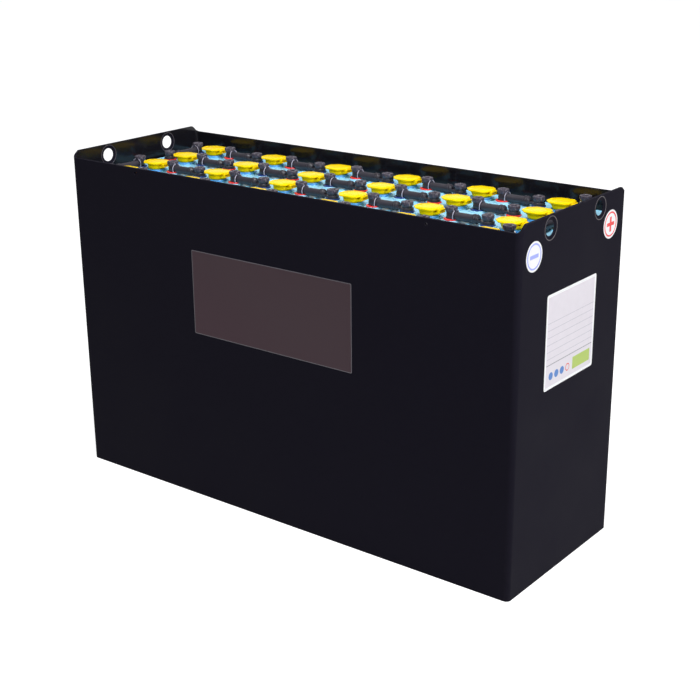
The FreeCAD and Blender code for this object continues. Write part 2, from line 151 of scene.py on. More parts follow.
class ConnectorSettings(bpy.types.PropertyGroup):
    ring_top: length("Ring top", "Top of a pole ring above the floor", 0.7305)
    ring_radius: length("Ring", "Radius of a coloured pole ring", 0.0158)
    boot_radius: length("Housing", "Radius of the housing at the mouth end", 0.0104)
    boot_top: length("Housing top", "Top of that housing above the floor", 0.7445)
    lug_radius: length("Lug", "Radius of the flat lug at the neck end", 0.0138)
    lug_top: length("Lug top", "Top of that lug above the floor", 0.7366)
    low_head: length("Low head", "Foot of a bolt head on a lug above the floor", 0.7402)
    takeoff_top: length("Take-off top", "Top washer of a take-off above the floor", 0.7530)
    head_radius: length("Head", "Radius of a bolt head", 0.0131)
    head_height: length("Head height", "Height of a bolt head", 0.0099)
    cable_radius: length("Cable", "Radius of the insulated cable", 0.0088)
    cable_level: length("Cable level", "Cable axis above the floor", 0.7364)
    rubber: colour("Rubber", "Moulded housings and collars", (0.024, 0.020, 0.029))
    sheath: colour("Sheath", "Cable insulation", (0.030, 0.026, 0.036))
    plus: colour("Plus", "Rings of plus poles", (1.000, 0.040, 0.036))
    minus: colour("Minus", "Rings of minus poles", (0.014, 0.040, 0.200))


class FoilSettings(bpy.types.PropertyGroup):
    plate_low: FloatVectorProperty(name="Plate corner", description="Lower left corner on the front",
                                   default=(-0.233, 0.409), size=2, unit="LENGTH")
    plate_high: FloatVectorProperty(name="Plate corner", description="Upper right corner on the front",
                                    default=(0.217, 0.605), size=2, unit="LENGTH")
    label_side: length("Label", "Side of the square label", 0.200)
    label_level: length("Label level", "Middle of the label above the floor", 0.523)
    sticker_radius: length("Sticker", "Radius of a polarity sticker", 0.030)
    sticker_level: length("Sticker level", "Middle of a sticker above the floor", 0.715)
    plate: colour("Plate", "Bare plate", (0.066, 0.039, 0.049))
    paper: colour("Paper", "White foil", (0.90, 0.90, 0.92))


class StageSettings(bpy.types.PropertyGroup):
    target: FloatVectorProperty(name="Target", description="Point the camera looks at",
                                default=(0.048913, 0.0, 0.365643), size=3, unit="LENGTH")
    azimuth: turn("Azimuth", "Camera round the object", 37.641)
    elevation: turn("Elevation", "Camera above the horizon", 19.510)
    roll: turn("Roll", "Camera about its own axis", -0.449)
    distance: length("Distance", "Camera from the target", 3.099607)
    lens: FloatProperty(name="Lens", description="Focal length in millimetres", default=69.54,
                        min=10.0, max=300.0)
    floor_reach: FloatProperty(name="Floor", description="Half the side of the floor", default=40.0,
                               unit="LENGTH")
    floor: colour("Floor colour", "Pale floor where it lights the object", (0.50, 0.50, 0.50))


# Building shader nodes

def shader_node(tree, kind, values=None, **settings):
    """Add a node; values fill its inputs by name or number, with a socket for a link."""
    node = tree.nodes.new(kind)
    for name, value in settings.items():
        setattr(node, name, value)
    for name, value in (values or {}).items():
        if isinstance(value, bpy.types.NodeSocket):
            tree.links.new(value, node.inputs[name])
        else:
            node.inputs[name].default_value = value
    return node


def node_group(name, inputs, outputs):
    """Start a group with float inputs and named outputs; gives its tree, input node and output node."""
    tree = bpy.data.node_groups.new(name, "ShaderNodeTree")
    for label, default in inputs:
        socket = tree.interface.new_socket(name=label, in_out="INPUT", socket_type="NodeSocketFloat")
        socket.default_value = default
    for label, kind in outputs:
        tree.interface.new_socket(name=label, in_out="OUTPUT", socket_type=kind)
    return tree, tree.nodes.new("NodeGroupInput"), tree.nodes.new("NodeGroupOutput")


def math_node(tree, operation, first, second, clamp=False):
    """Add a math node and give its output."""
    return shader_node(tree, "ShaderNodeMath", {0: first, 1: second}, operation=operation,
                       use_clamp=clamp).outputs[0]


def noise_node(tree, place, scale, detail, roughness=0.5):
    """Add a noise texture and give its factor."""
    return shader_node(tree, "ShaderNodeTexNoise", {
        "Vector": place, "Scale": scale, "Detail": detail, "Roughness": roughness}).outputs[0]


def range_node(tree, value, low, high, to_low=0.0, to_high=1.0):
    """Map low..high to another range and give the result."""
    return shader_node(tree, "ShaderNodeMapRange", {
        "Value": value, "From Min": low, "From Max": high,
        "To Min": to_low, "To Max": to_high}).outputs[0]


def own_coordinates(tree):
    """Object coordinates moved by each object's own random amount, so that copies differ."""
    spread = 7.0
    place = shader_node(tree, "ShaderNodeTexCoord")
    who = shader_node(tree, "ShaderNodeObjectInfo")
    shift = math_node(tree, "MULTIPLY", who.outputs["Random"], spread)
    return shader_node(tree, "ShaderNodeVectorMath",
                       {0: place.outputs["Object"], 1: shift}, operation="ADD").outputs[0]


def grain_group():
    """Fine moulded or sprayed texture: a height for the bump and a soft patchiness."""
    tree, given, result = node_group(
        "Surface grain", [("Scale", 900.0), ("Patch scale", 14.0)],
        [("Height", "NodeSocketFloat"), ("Patches", "NodeSocketFloat")])
    place = own_coordinates(tree)
    fine = noise_node(tree, place, given.outputs["Scale"], 3.0, 0.55)
    broad = noise_node(tree, place, given.outputs["Patch scale"], 5.0, 0.6)
    tree.links.new(fine, result.inputs["Height"])
    tree.links.new(broad, result.inputs["Patches"])
    return tree


def edge_wear_and_highlight_group():
    """Mask that is strongest on edges, found from rounded normals and broken up by noise; it lays edge wear
    and painted edge highlights.
    """
    tree, given, result = node_group(
        "Edge wear", [("Radius", 0.001), ("Gain", 4.0), ("Break-up scale", 60.0)],
        [("Mask", "NodeSocketFloat")])
    shape = shader_node(tree, "ShaderNodeNewGeometry")
    rounded = shader_node(tree, "ShaderNodeBevel", {"Radius": given.outputs["Radius"]}, samples=4)
    facing = shader_node(tree, "ShaderNodeVectorMath", {
        0: shape.outputs["True Normal"], 1: rounded.outputs[0]}, operation="DOT_PRODUCT")
    turned = math_node(tree, "SUBTRACT", 1.0, facing.outputs["Value"])
    gained = math_node(tree, "MULTIPLY", turned, given.outputs["Gain"], True)
    noise = noise_node(tree, own_coordinates(tree), given.outputs["Break-up scale"], 4.0)
    mask = math_node(tree, "MULTIPLY", gained, range_node(tree, noise, 0.35, 0.65), True)
    tree.links.new(mask, result.inputs["Mask"])
    return tree


def dust_and_top_light_group():
    """Mask of dust that settles on what faces up; on the bolt heads it is also painted top light."""
    tree, given, result = node_group(
        "Settled dust", [("Amount", 0.3), ("Scale", 22.0)], [("Mask", "NodeSocketFloat")])
    shape = shader_node(tree, "ShaderNodeNewGeometry")
    upward = shader_node(tree, "ShaderNodeSeparateXYZ", {0: shape.outputs["Normal"]})
    facing = range_node(tree, upward.outputs["Z"], 0.3, 1.0)
    noise = noise_node(tree, own_coordinates(tree), given.outputs["Scale"], 8.0, 0.7)
    both = math_node(tree, "MULTIPLY", facing, range_node(tree, noise, 0.38, 0.72))
    amount = math_node(tree, "MULTIPLY", both, given.outputs["Amount"], True)
    tree.links.new(amount, result.inputs["Mask"])
    return tree


def scuff_group():
    """Mask of fine long scuffs, level and slanting."""
    tree, given, result = node_group(
        "Hairline scuffs", [("Scale", 5.0), ("Amount", 0.5)], [("Mask", "NodeSocketFloat")])
    place = own_coordinates(tree)
    masks = []
    for angle, stretch in ((0.3, (2.0, 2.0, 150.0)), (1.1, (3.0, 3.0, 110.0))):
        turned = shader_node(tree, "ShaderNodeMapping", {
            "Vector": place, "Rotation": (angle, angle * 0.4, 0.0), "Scale": stretch})
        noise = noise_node(tree, turned.outputs[0], given.outputs["Scale"], 2.0)
        masks.append(range_node(tree, noise, 0.70, 0.80))
    both = math_node(tree, "MAXIMUM", *masks)
    amount = math_node(tree, "MULTIPLY", both, given.outputs["Amount"], True)
    tree.links.new(amount, result.inputs["Mask"])
    return tree


GROUP_MAKERS = {
    "Surface grain": grain_group,
    "Edge wear": edge_wear_and_highlight_group,
    "Settled dust": dust_and_top_light_group,
    "Hairline scuffs": scuff_group,
}


def place_group(tree, name, **values):
    """Put a shared group into a material, making the group on first use."""
    group = bpy.data.node_groups.get(name) or GROUP_MAKERS[name]()
    named = {label.replace("_", " "): value for label, value in values.items()}
    return shader_node(tree, "ShaderNodeGroup", named, node_tree=group)


def mix_colour(tree, factor, first, second):
    """Mix two colours, given as plain colours or sockets."""
    node = shader_node(tree, "ShaderNodeMix", data_type="RGBA")
    for socket, value in ((node.inputs[0], factor), (node.inputs[6], first), (node.inputs[7], second)):
        if isinstance(value, bpy.types.NodeSocket):
            tree.links.new(value, socket)
        elif isinstance(value, float):
            socket.default_value = value
        else:
            socket.default_value = (*value, 1.0)
    return node.outputs[2]


def scaled(values, factor):
    return tuple(min(1.0, value * factor) for value in values)


def finish_material(name, base, roughness=(0.35, 0.45), grain=900.0, bump=0.0002, patch_scale=14.0,
                    variation=0.12, wear=None, dust=0.0, dust_and_top_light_colour=(0.33, 0.31, 0.29), scuffs=0.0,
                    metallic=0.0, specular=0.5, wear_and_highlight_radius=0.0008):
    """Make a finish from one base colour, the shared surface effects and a Principled shader."""
    material = bpy.data.materials.get(name)
    if material:
        return material
    base = tuple(base)
    material = bpy.data.materials.new(name)
    material.use_nodes = True
    tree = material.node_tree
    shader = tree.nodes["Principled BSDF"]
    surface = place_group(tree, "Surface grain", Scale=grain, Patch_scale=patch_scale)
    tone = mix_colour(tree, surface.outputs["Patches"], scaled(base, 1 - variation),
                      scaled(base, 1 + variation))
    rough = range_node(tree, surface.outputs["Patches"], 0.3, 0.7, *roughness)
    # Lighter colour along edges: wear, and on the tray a painted highlight
    if wear:
        worn_and_lit = place_group(tree, "Edge wear", Radius=wear_and_highlight_radius)
        tone = mix_colour(tree, worn_and_lit.outputs["Mask"], tone, wear)
    if scuffs:
        marks = place_group(tree, "Hairline scuffs", Amount=scuffs)
        tone = mix_colour(tree, marks.outputs["Mask"], tone, scaled(base, 1.9))
        rough = math_node(tree, "ADD", rough, marks.outputs["Mask"], True)
    # Colour on up-facing surfaces: dust, and on the bolt heads also painted top light
    if dust:
        settled_and_lit = place_group(tree, "Settled dust", Amount=dust)
        tone = mix_colour(tree, settled_and_lit.outputs["Mask"], tone, dust_and_top_light_colour)
        rough = math_node(tree, "ADD", rough, settled_and_lit.outputs["Mask"], True)
    relief = shader_node(tree, "ShaderNodeBump", {
        "Height": surface.outputs["Height"], "Distance": bump, "Strength": 0.6})
    tree.links.new(tone, shader.inputs["Base Color"])
    tree.links.new(rough, shader.inputs["Roughness"])
    tree.links.new(relief.outputs[0], shader.inputs["Normal"])
    shader.inputs["Metallic"].default_value = metallic
    shader.inputs["Specular IOR Level"].default_value = specular
    material.diffuse_color = (*base, 1.0)
    return material


# Building meshes

def circle(radius, height, count=48, phase=0.0):
    return [Vector((radius * math.cos(phase + math.tau * i / count),
                    radius * math.sin(phase + math.tau * i / count), height)) for i in range(count)]


def rounded_rectangle(half_x, half_y, radius, height=0.0, steps=5):
    """Anticlockwise points of a rectangle with rounded corners."""
    points = []
    for quarter, (sx, sy) in enumerate(((1, 1), (-1, 1), (-1, -1), (1, -1))):
        for step in range(steps + 1):
            angle = math.radians(90 * (quarter + step / steps))
            points.append(Vector((sx * (half_x - radius) + radius * math.cos(angle),
                                  sy * (half_y - radius) + radius * math.sin(angle), height)))
    return points


def soften(corners, radius, steps=4):
    """Replace each corner of an outline by a short arc."""
    points = []
    for i, corner in enumerate(corners):
        before = corners[i - 1] - corner
        after = corners[(i + 1) % len(corners)] - corner
        reach = min(radius, before.length * 0.45, after.length * 0.45)
        start = corner + before.normalized() * reach
        end = corner + after.normalized() * reach
        for step in range(steps + 1):
            t = step / steps
            points.append(start.lerp(corner, t).lerp(corner.lerp(end, t), t))
    return points


def inset(points, distance, height):
    """Move an anticlockwise outline inwards along its own normals, to a height."""
    moved = []
    for i, point in enumerate(points):
        along = points[(i + 1) % len(points)] - points[i - 1]
        inward = Vector((-along.y, along.x, 0.0)).normalized()
        moved.append(Vector((point.x, point.y, 0.0)) + inward * distance + Vector((0, 0, height)))
    return moved


def loft(bm, loops, material=0, cap_first=True, cap_last=True, ring=False, matrix=None):
    """Join loops of equal length into a skin; a ring also joins the last loop to the first."""
    rows = [[bm.verts.new(matrix @ point if matrix else point) for point in loop] for loop in loops]
    pairs = list(zip(rows, rows[1:]))
    if ring:
        pairs.append((rows[-1], rows[0]))
    faces = []
    for low, high in pairs:
        count = len(low)
        for i in range(count):
            j = (i + 1) % count
            faces.append(bm.faces.new((low[i], low[j], high[j], high[i])))
    if not ring and cap_first:
        faces.append(bm.faces.new(tuple(reversed(rows[0]))))
    if not ring and cap_last:
        faces.append(bm.faces.new(tuple(rows[-1])))
    for face in faces:
        face.material_index = material
    return faces


def lathe(bm, profile, count=48, material=0, ring=False, matrix=None, phase=0.0):
    """Turn a profile of (radius, height) pairs about the local Z axis."""
    return loft(bm, [circle(r, z, count, phase) for r, z in profile], material, ring=ring, matrix=matrix)


def along_x(x, y, z):
    """Matrix that lays local Z along X, at a place."""
    return Matrix.Translation((x, y, z)) @ Matrix.Rotation(math.radians(90), 4, "Y")


def block(bm, low, high, radius=0.0006, material=0, matrix=None):
    """A box with rounded vertical corners and bevelled top and bottom edges."""
    centre = (Vector(low) + Vector(high)) / 2
    half = (Vector(high) - Vector(low)) / 2
    move = Matrix.Translation(centre)
    if matrix:
        move = matrix @ move
    loops = [
        rounded_rectangle(half.x - radius, half.y - radius, radius, -half.z, 2),
        rounded_rectangle(half.x, half.y, radius, -half.z + radius, 2),
        rounded_rectangle(half.x, half.y, radius, half.z - radius, 2),
        rounded_rectangle(half.x - radius, half.y - radius, radius, half.z, 2),
    ]
    return loft(bm, loops, material, matrix=move)


def to_mesh(name, bm, materials, sharp_degrees=32.0):
    """Turn a bmesh into a mesh with its finishes and smooth shading up to a sharp angle."""
    bmesh.ops.recalc_face_normals(bm, faces=bm.faces)
    mesh = bpy.data.meshes.new(name)
    bm.to_mesh(mesh)
    bm.free()
    for material in materials:
        mesh.materials.append(material)
    mesh.polygons.foreach_set("use_smooth", [True] * len(mesh.polygons))
    mesh.set_sharp_from_angle(angle=math.radians(sharp_degrees))
    return mesh


def add_piece(name, mesh, body=BODY, nodes=(), place=(0, 0, 0), angle=0.0):
    """Put a mesh in the scene as a piece that rides on a body."""
    piece = bpy.data.objects.new(name, mesh)
    piece.location = place
    piece.rotation_euler = (0, 0, angle)
    bpy.context.scene.collection.objects.link(piece)
    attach(piece, body)
    if nodes:
        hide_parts(*nodes)
    return piece


def apply_modifiers(piece):
    """Replace a piece's mesh by what its modifiers make of it."""
    evaluated = piece.evaluated_get(bpy.context.evaluated_depsgraph_get())
    mesh = bpy.data.meshes.new_from_object(evaluated)
    piece.modifiers.clear()
    piece.data = mesh
    return mesh


def dress_node(name, material):
    """Give a CAD node that is shown as it is its finish."""
    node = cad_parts[name]
    node.data.materials.clear()
    node.data.materials.append(material)


# Finishes: base colour, or the group, setting and factor it comes from, and the surface values

FINISHES = {
    # The tray's lighter edge colour is a painted highlight along its edges
    "tray_powder_coat": (("battery_tray", "coat", 1.0), dict(
        roughness=(0.52, 0.62), grain=1400.0, bump=0.00008, patch_scale=6.0, variation=0.10,
        wear=(0.060, 0.055, 0.070), wear_and_highlight_radius=0.0016, dust=0.04, dust_and_top_light_colour=(0.030, 0.028, 0.034),
        scuffs=0.05, specular=0.02)),
    # Lighter ring round the lifting holes: a painted highlight on their bevelled lips
    "rolled_rim_coat": ((0.060, 0.048, 0.056), dict(
        roughness=(0.25, 0.35), grain=900.0, bump=0.00005, patch_scale=30.0, variation=0.2,
        wear=(0.20, 0.18, 0.20), scuffs=0.2)),
    "tray_inner_coat": (("battery_tray", "inner_coat", 1.0), dict(
        roughness=(0.10, 0.18), grain=600.0, bump=0.00006, patch_scale=9.0, variation=0.15,
        scuffs=0.12, specular=0.32)),
    "packing_sheet": ((0.018, 0.018, 0.022), dict(roughness=(0.4, 0.5), patch_scale=10.0)),
    "cell_polypropylene": (("battery_cell", "cover", 1.0), dict(
        roughness=(0.26, 0.40), grain=1100.0, bump=0.00005, patch_scale=35.0, variation=0.10,
        wear=(0.55, 0.86, 0.98), dust=0.20, dust_and_top_light_colour=(0.50, 0.66, 0.74), scuffs=0.10,
        specular=0.3)),
    "rim_polypropylene": (("battery_cell", "rim", 1.0), dict(
        roughness=(0.22, 0.34), grain=1100.0, bump=0.00005, patch_scale=35.0, variation=0.10,
        wear=(0.45, 0.82, 0.98), dust=0.15, dust_and_top_light_colour=(0.52, 0.70, 0.75))),
    "neck_polypropylene": (("battery_cell", "neck", 1.0), dict(
        roughness=(0.22, 0.32), grain=1100.0, bump=0.00004, patch_scale=30.0, variation=0.08)),
    "moulded_yellow": (("battery_vent", "yellow", 1.0), dict(
        roughness=(0.20, 0.30), grain=800.0, bump=0.00004, patch_scale=25.0, variation=0.04,
        wear=(1.0, 0.74, 0.0), dust=0.02, dust_and_top_light_colour=(0.85, 0.52, 0.0), specular=0.04)),
    "moulded_rubber": (("battery_connector", "rubber", 1.0), dict(
        roughness=(0.28, 0.42), grain=1000.0, bump=0.00006, patch_scale=40.0, variation=0.2,
        wear=(0.10, 0.095, 0.11), dust=0.10, dust_and_top_light_colour=(0.12, 0.11, 0.12))),
    "cable_sheath": (("battery_connector", "sheath", 1.0), dict(
        roughness=(0.38, 0.50), grain=1600.0, bump=0.00008, patch_scale=50.0, variation=0.2,
        dust=0.12, dust_and_top_light_colour=(0.13, 0.12, 0.14), scuffs=0.2)),
    "shroud_lip": ((0.40, 0.37, 0.45), dict(
        roughness=(0.25, 0.35), grain=900.0, bump=0.00004, patch_scale=30.0)),
    # The heads' paler tops are partly dust and partly painted top light
    "bolt_polyamide": (("battery_connector", "rubber", 2.3), dict(
        roughness=(0.26, 0.38), grain=1200.0, bump=0.00006, patch_scale=60.0, variation=0.2,
        wear=(0.16, 0.14, 0.17), dust=0.15, dust_and_top_light_colour=(0.14, 0.12, 0.14))),
    "plus_ring_plastic": (("battery_connector", "plus", 1.0), dict(
        roughness=(0.22, 0.32), grain=900.0, bump=0.00004, patch_scale=40.0, wear=(1.0, 0.10, 0.07))),
    "minus_ring_plastic": (("battery_connector", "minus", 1.0), dict(
        roughness=(0.22, 0.32), grain=900.0, bump=0.00004, patch_scale=40.0, wear=(0.10, 0.22, 0.55))),
    "lead_pole": ((0.30, 0.30, 0.32), dict(
        roughness=(0.40, 0.60), grain=700.0, bump=0.00012, patch_scale=90.0, variation=0.25,
        metallic=1.0, scuffs=0.4)),
    "plated_washer": ((0.72, 0.72, 0.74), dict(
        roughness=(0.18, 0.30), grain=1500.0, bump=0.00004, patch_scale=80.0, variation=0.10,
        metallic=1.0, scuffs=0.3)),
    "bare_plate": (("battery_foil", "plate", 1.0), dict(
        roughness=(0.40, 0.48), grain=2200.0, bump=0.00005, patch_scale=8.0, variation=0.06,
        scuffs=0.15, specular=0.12)),
    "plate_edge": ((0.11, 0.10, 0.12), dict(
        roughness=(0.30, 0.40), grain=1500.0, bump=0.00004, patch_scale=20.0)),
    "white_foil": (("battery_foil", "paper", 1.0), dict(
        roughness=(0.30, 0.38), grain=2000.0, bump=0.00003, patch_scale=12.0, variation=0.02,
        specular=0.4)),
}


def finish(name):
    """Material of a finish in the table."""
    base, values = FINISHES[name]
    if isinstance(base[0], str):
        group, setting, factor = base
        base = scaled(getattr(getattr(bpy.context.scene, group), setting), factor)
    return finish_material(name, base, **values)


def ink(name, base):
    return finish_material(name, base, roughness=(0.32, 0.40), grain=2500.0, bump=0.00003,
                           patch_scale=60.0, variation=0.05, specular=0.4)


# Pieces

class BATTERY_OT_tray(bpy.types.Operator):
    """Fold the tray's four walls with their lifting holes, and finish floor and packing"""

    bl_idname = "battery.make_tray"
    bl_label = "Tray"

    def execute(self, context):
        s = context.scene.battery_tray
        half_x, half_y = HALF_LENGTH - s.face_inset, HALF_WIDTH - s.face_inset
        outer_radius = s.bend - s.face_inset
        inner_radius = s.bend - s.wall
        centre_x, centre_y = HALF_LENGTH - s.bend, HALF_WIDTH - s.bend
        slope = (TRAY_HEIGHT - LONG_WALL_TOP) / s.shoulder_run

        def level(y):
            return min(TRAY_HEIGHT, LONG_WALL_TOP + (HALF_WIDTH - abs(y)) * slope)

        outer, inner = [], []
        steps = 8
        for quarter, (sx, sy) in enumerate(((1, 1), (-1, 1), (-1, -1), (1, -1))):
            shoulder = HALF_WIDTH - s.shoulder_run
            arc = []
            for step in range(steps + 1):
                angle = math.radians(90 * (quarter + step / steps))
                ray = Vector((math.cos(angle), math.sin(angle)))
                corner = Vector((sx * centre_x, sy * centre_y))
                arc.append((corner + ray * outer_radius, corner + ray * inner_radius))
            ends = (Vector((sx * half_x, sy * shoulder)),
                    Vector((sx * (HALF_LENGTH - s.wall), sy * shoulder)))
            if sx * sy > 0:
                arc.insert(0, ends)
            else:
                arc.append(ends)
            for a, b in arc:
                top = level(a.y)
                outer.append((a, top))
                inner.append((b, top))

        bm = bmesh.new()
        def row(points, bottom):
            return [bm.verts.new((p.x, p.y, 0.0 if bottom else top)) for p, top in points]
        rows = [row(outer, True), row(outer, False), row(inner, False), row(inner, True)]
        count = len(outer)
        for index in range(4):
            low, high = rows[index], rows[(index + 1) % 4]
            for i in range(count):
                j = (i + 1) % count
                face = bm.faces.new((low[i], low[j], high[j], high[i]))
                face.material_index = 1 if index == 2 else 0
        mesh = to_mesh("tray_walls", bm, [finish("tray_powder_coat"), finish("tray_inner_coat")])
        walls = add_piece("tray_walls", mesh, nodes=(
            "end_wall_left", "end_wall_right", "long_wall_front", "long_wall_back"))

        bm = bmesh.new()
        level_z = TRAY_HEIGHT - s.hole_drop
        inner_x = HALF_LENGTH - s.wall
        reach = 0.004
        profile = [(s.lip_radius, inner_x - reach), (s.lip_radius, inner_x),
                   (s.hole_radius, inner_x + s.lip_depth), (s.hole_radius, half_x - s.lip_depth),
                   (s.lip_radius, half_x), (s.lip_radius, half_x + reach)]
        holes = [
            Matrix.Translation((0, y, level_z)) @ Matrix.Rotation(math.radians(90 * side), 4, "Y")
            for side in (-1, 1) for y in (-s.hole_spacing / 2, s.hole_spacing / 2)]
        for turned in holes:
            lathe(bm, profile, 64, matrix=turned)
        for x in (-s.small_hole_reach, s.small_hole_reach):
            turned = Matrix.Translation((x, 0, LONG_WALL_TOP - s.small_hole_drop)) @ Matrix.Rotation(
                math.radians(90), 4, "X")
            lathe(bm, [(s.small_hole, HALF_WIDTH - s.wall - reach), (s.small_hole, HALF_WIDTH + reach)],
                  24, matrix=turned)
        mesh = to_mesh("hole_cutter", bm, [finish("tray_powder_coat")])
        cutter = bpy.data.objects.new("hole_cutter", mesh)
        context.scene.collection.objects.link(cutter)
        cut = walls.modifiers.new("holes", "BOOLEAN")
        cut.operation = "DIFFERENCE"
        cut.solver = "EXACT"
        cut.object = cutter
        rounding = walls.modifiers.new("edges", "BEVEL")
        rounding.width = s.edge_round
        rounding.segments = 3
        rounding.limit_method = "ANGLE"
        rounding.angle_limit = math.radians(25)
        mesh = apply_modifiers(walls)
        bpy.data.objects.remove(cutter)
        mesh.set_sharp_from_angle(angle=math.radians(40))
        flat_area = 0.003  # the walls' own faces stay flat, their rounded edges are smooth
        for face in mesh.polygons:
            face.use_smooth = face.area < flat_area

        # Rolled rim of each lifting hole, inside and outside, in a lighter coat that is a painted highlight
        # on the lip
        bm = bmesh.new()
        rim = [(s.lip_radius + out, height) for out, height in (
            (-0.0006, -0.0002), (-0.0004, 0.0002), (0.0003, 0.0003), (0.0010, 0.0001), (0.0012, -0.0002))]
        for turned in holes:
            lathe(bm, [(r, half_x + h) for r, h in rim], 64, ring=True, matrix=turned)
            lathe(bm, [(r, inner_x - h) for r, h in reversed(rim)], 64, ring=True, matrix=turned)
        add_piece("lifting_hole_rims", to_mesh("lifting_hole_rims", bm, [finish("rolled_rim_coat")]))

        dress_node("tray_floor", finish("tray_inner_coat"))
        dress_node("packing_sheets", finish("packing_sheet"))
        return {"FINISHED"}


class BATTERY_OT_cells(bpy.types.Operator):
    """Mould the 24 cells: jar, welded cover with raised rim, pole bosses, neck and toothed flange"""

    bl_idname = "battery.make_cells"
    bl_label = "Cells"

    def execute(self, context):
        s = context.scene.battery_cell
        hx, hy = CELL_SIZE.x / 2, CELL_SIZE.y / 2
        cover = s.cover_top
        rim = cover + s.rim_height
        bm = bmesh.new()
        jar = [
            (0.0012, 0.0040, FLOOR_TOP), (0.0, 0.0040, FLOOR_TOP + 0.0012),
            (0.0, 0.0040, cover - 0.0150), (0.0007, 0.0036, cover - 0.0145),
            (0.0007, 0.0036, cover - 0.0132), (0.0, 0.0040, cover - 0.0126), (0.0, 0.0050, cover - 0.0040),
        ]
        edge = [
            (0.0, 0.0050, cover - 0.0040), (0.0, 0.0060, rim - 0.0012), (0.0004, 0.0058, rim - 0.0004),
            (0.0012, 0.0055, rim), (s.rim_width - 0.0008, 0.0050, rim),
            (s.rim_width - 0.0001, 0.0046, rim - 0.0005), (s.rim_width + 0.0005, 0.0042, cover + 0.0005),
            (s.rim_width + 0.0014, 0.0038, cover),
        ]
        loft(bm, [rounded_rectangle(hx - d, hy - d, r, z) for d, r, z in jar], cap_last=False)
        loft(bm, [rounded_rectangle(hx - d, hy - d, r, z) for d, r, z in edge], material=2,
             cap_first=False, cap_last=False)
        d, r, z = edge[-1]
        loft(bm, [rounded_rectangle(hx - d - more, hy - d - more, r, z) for more in (0.0, 0.001)],
             cap_first=False)

        # Bosses under the pole rings and ribs that join them to the flange
        for side in (-1, 1):
            boss = Matrix.Translation((side * s.pole_offset, 0, cover))
            lathe(bm, [(0.0192, -0.0002), (0.0186, s.boss_height - 0.0010),
                       (0.0180, s.boss_height - 0.0003), (0.0170, s.boss_height)], 44, matrix=boss)
            for y in (-0.012, 0.012):
                block(bm, (side * 0.034 - 0.008, y - 0.0010, cover - 0.0003),
                      (side * 0.034 + 0.008, y + 0.0010, cover + 0.0014), 0.0004)
        # Slim ribs from the flange towards the long rims
        for sx in (-1, 1):
            for sy in (-1, 1):
                block(bm, (sx * 0.019 - 0.0010, sy * 0.035 - 0.010, cover - 0.0003),
                      (sx * 0.019 + 0.0010, sy * 0.035 + 0.010, cover + 0.0014), 0.0004)

        flange = cover + s.flange_height
        reach, neck = s.flange_radius, s.neck_radius
        lathe(bm, [(reach, cover - 0.0002), (reach, flange - 0.0005), (reach - 0.0006, flange),
                   (neck - 0.0008, flange)], 64)
        teeth = 14
        for i in range(teeth):
            place = Matrix.Rotation(math.tau * (i + 0.5) / teeth, 4, "Z")
            block(bm, (neck + 0.0014, -0.0036, flange - 0.0003),
                  (reach + 0.0004, 0.0036, flange + 0.0014), 0.0006, material=2, matrix=place)
        lathe(bm, [(neck + 0.0008, flange - 0.0002), (neck, flange + 0.0008), (neck, s.neck_top - 0.0014),
                   (neck - 0.0005, s.neck_top - 0.0004), (neck - 0.0014, s.neck_top),
                   (neck - 0.0060, s.neck_top)], 64, material=1)
        mesh = to_mesh("cell", bm, [
            finish("cell_polypropylene"), finish("neck_polypropylene"), finish("rim_polypropylene")])
        for (row, column), place in CELL_PLACES.items():
            node = f"cell_r{row}_c{column}"
            add_piece(f"{node}_look", mesh, nodes=(node,),
                      place=(place.x, place.y, 0.0))
        return {"FINISHED"}


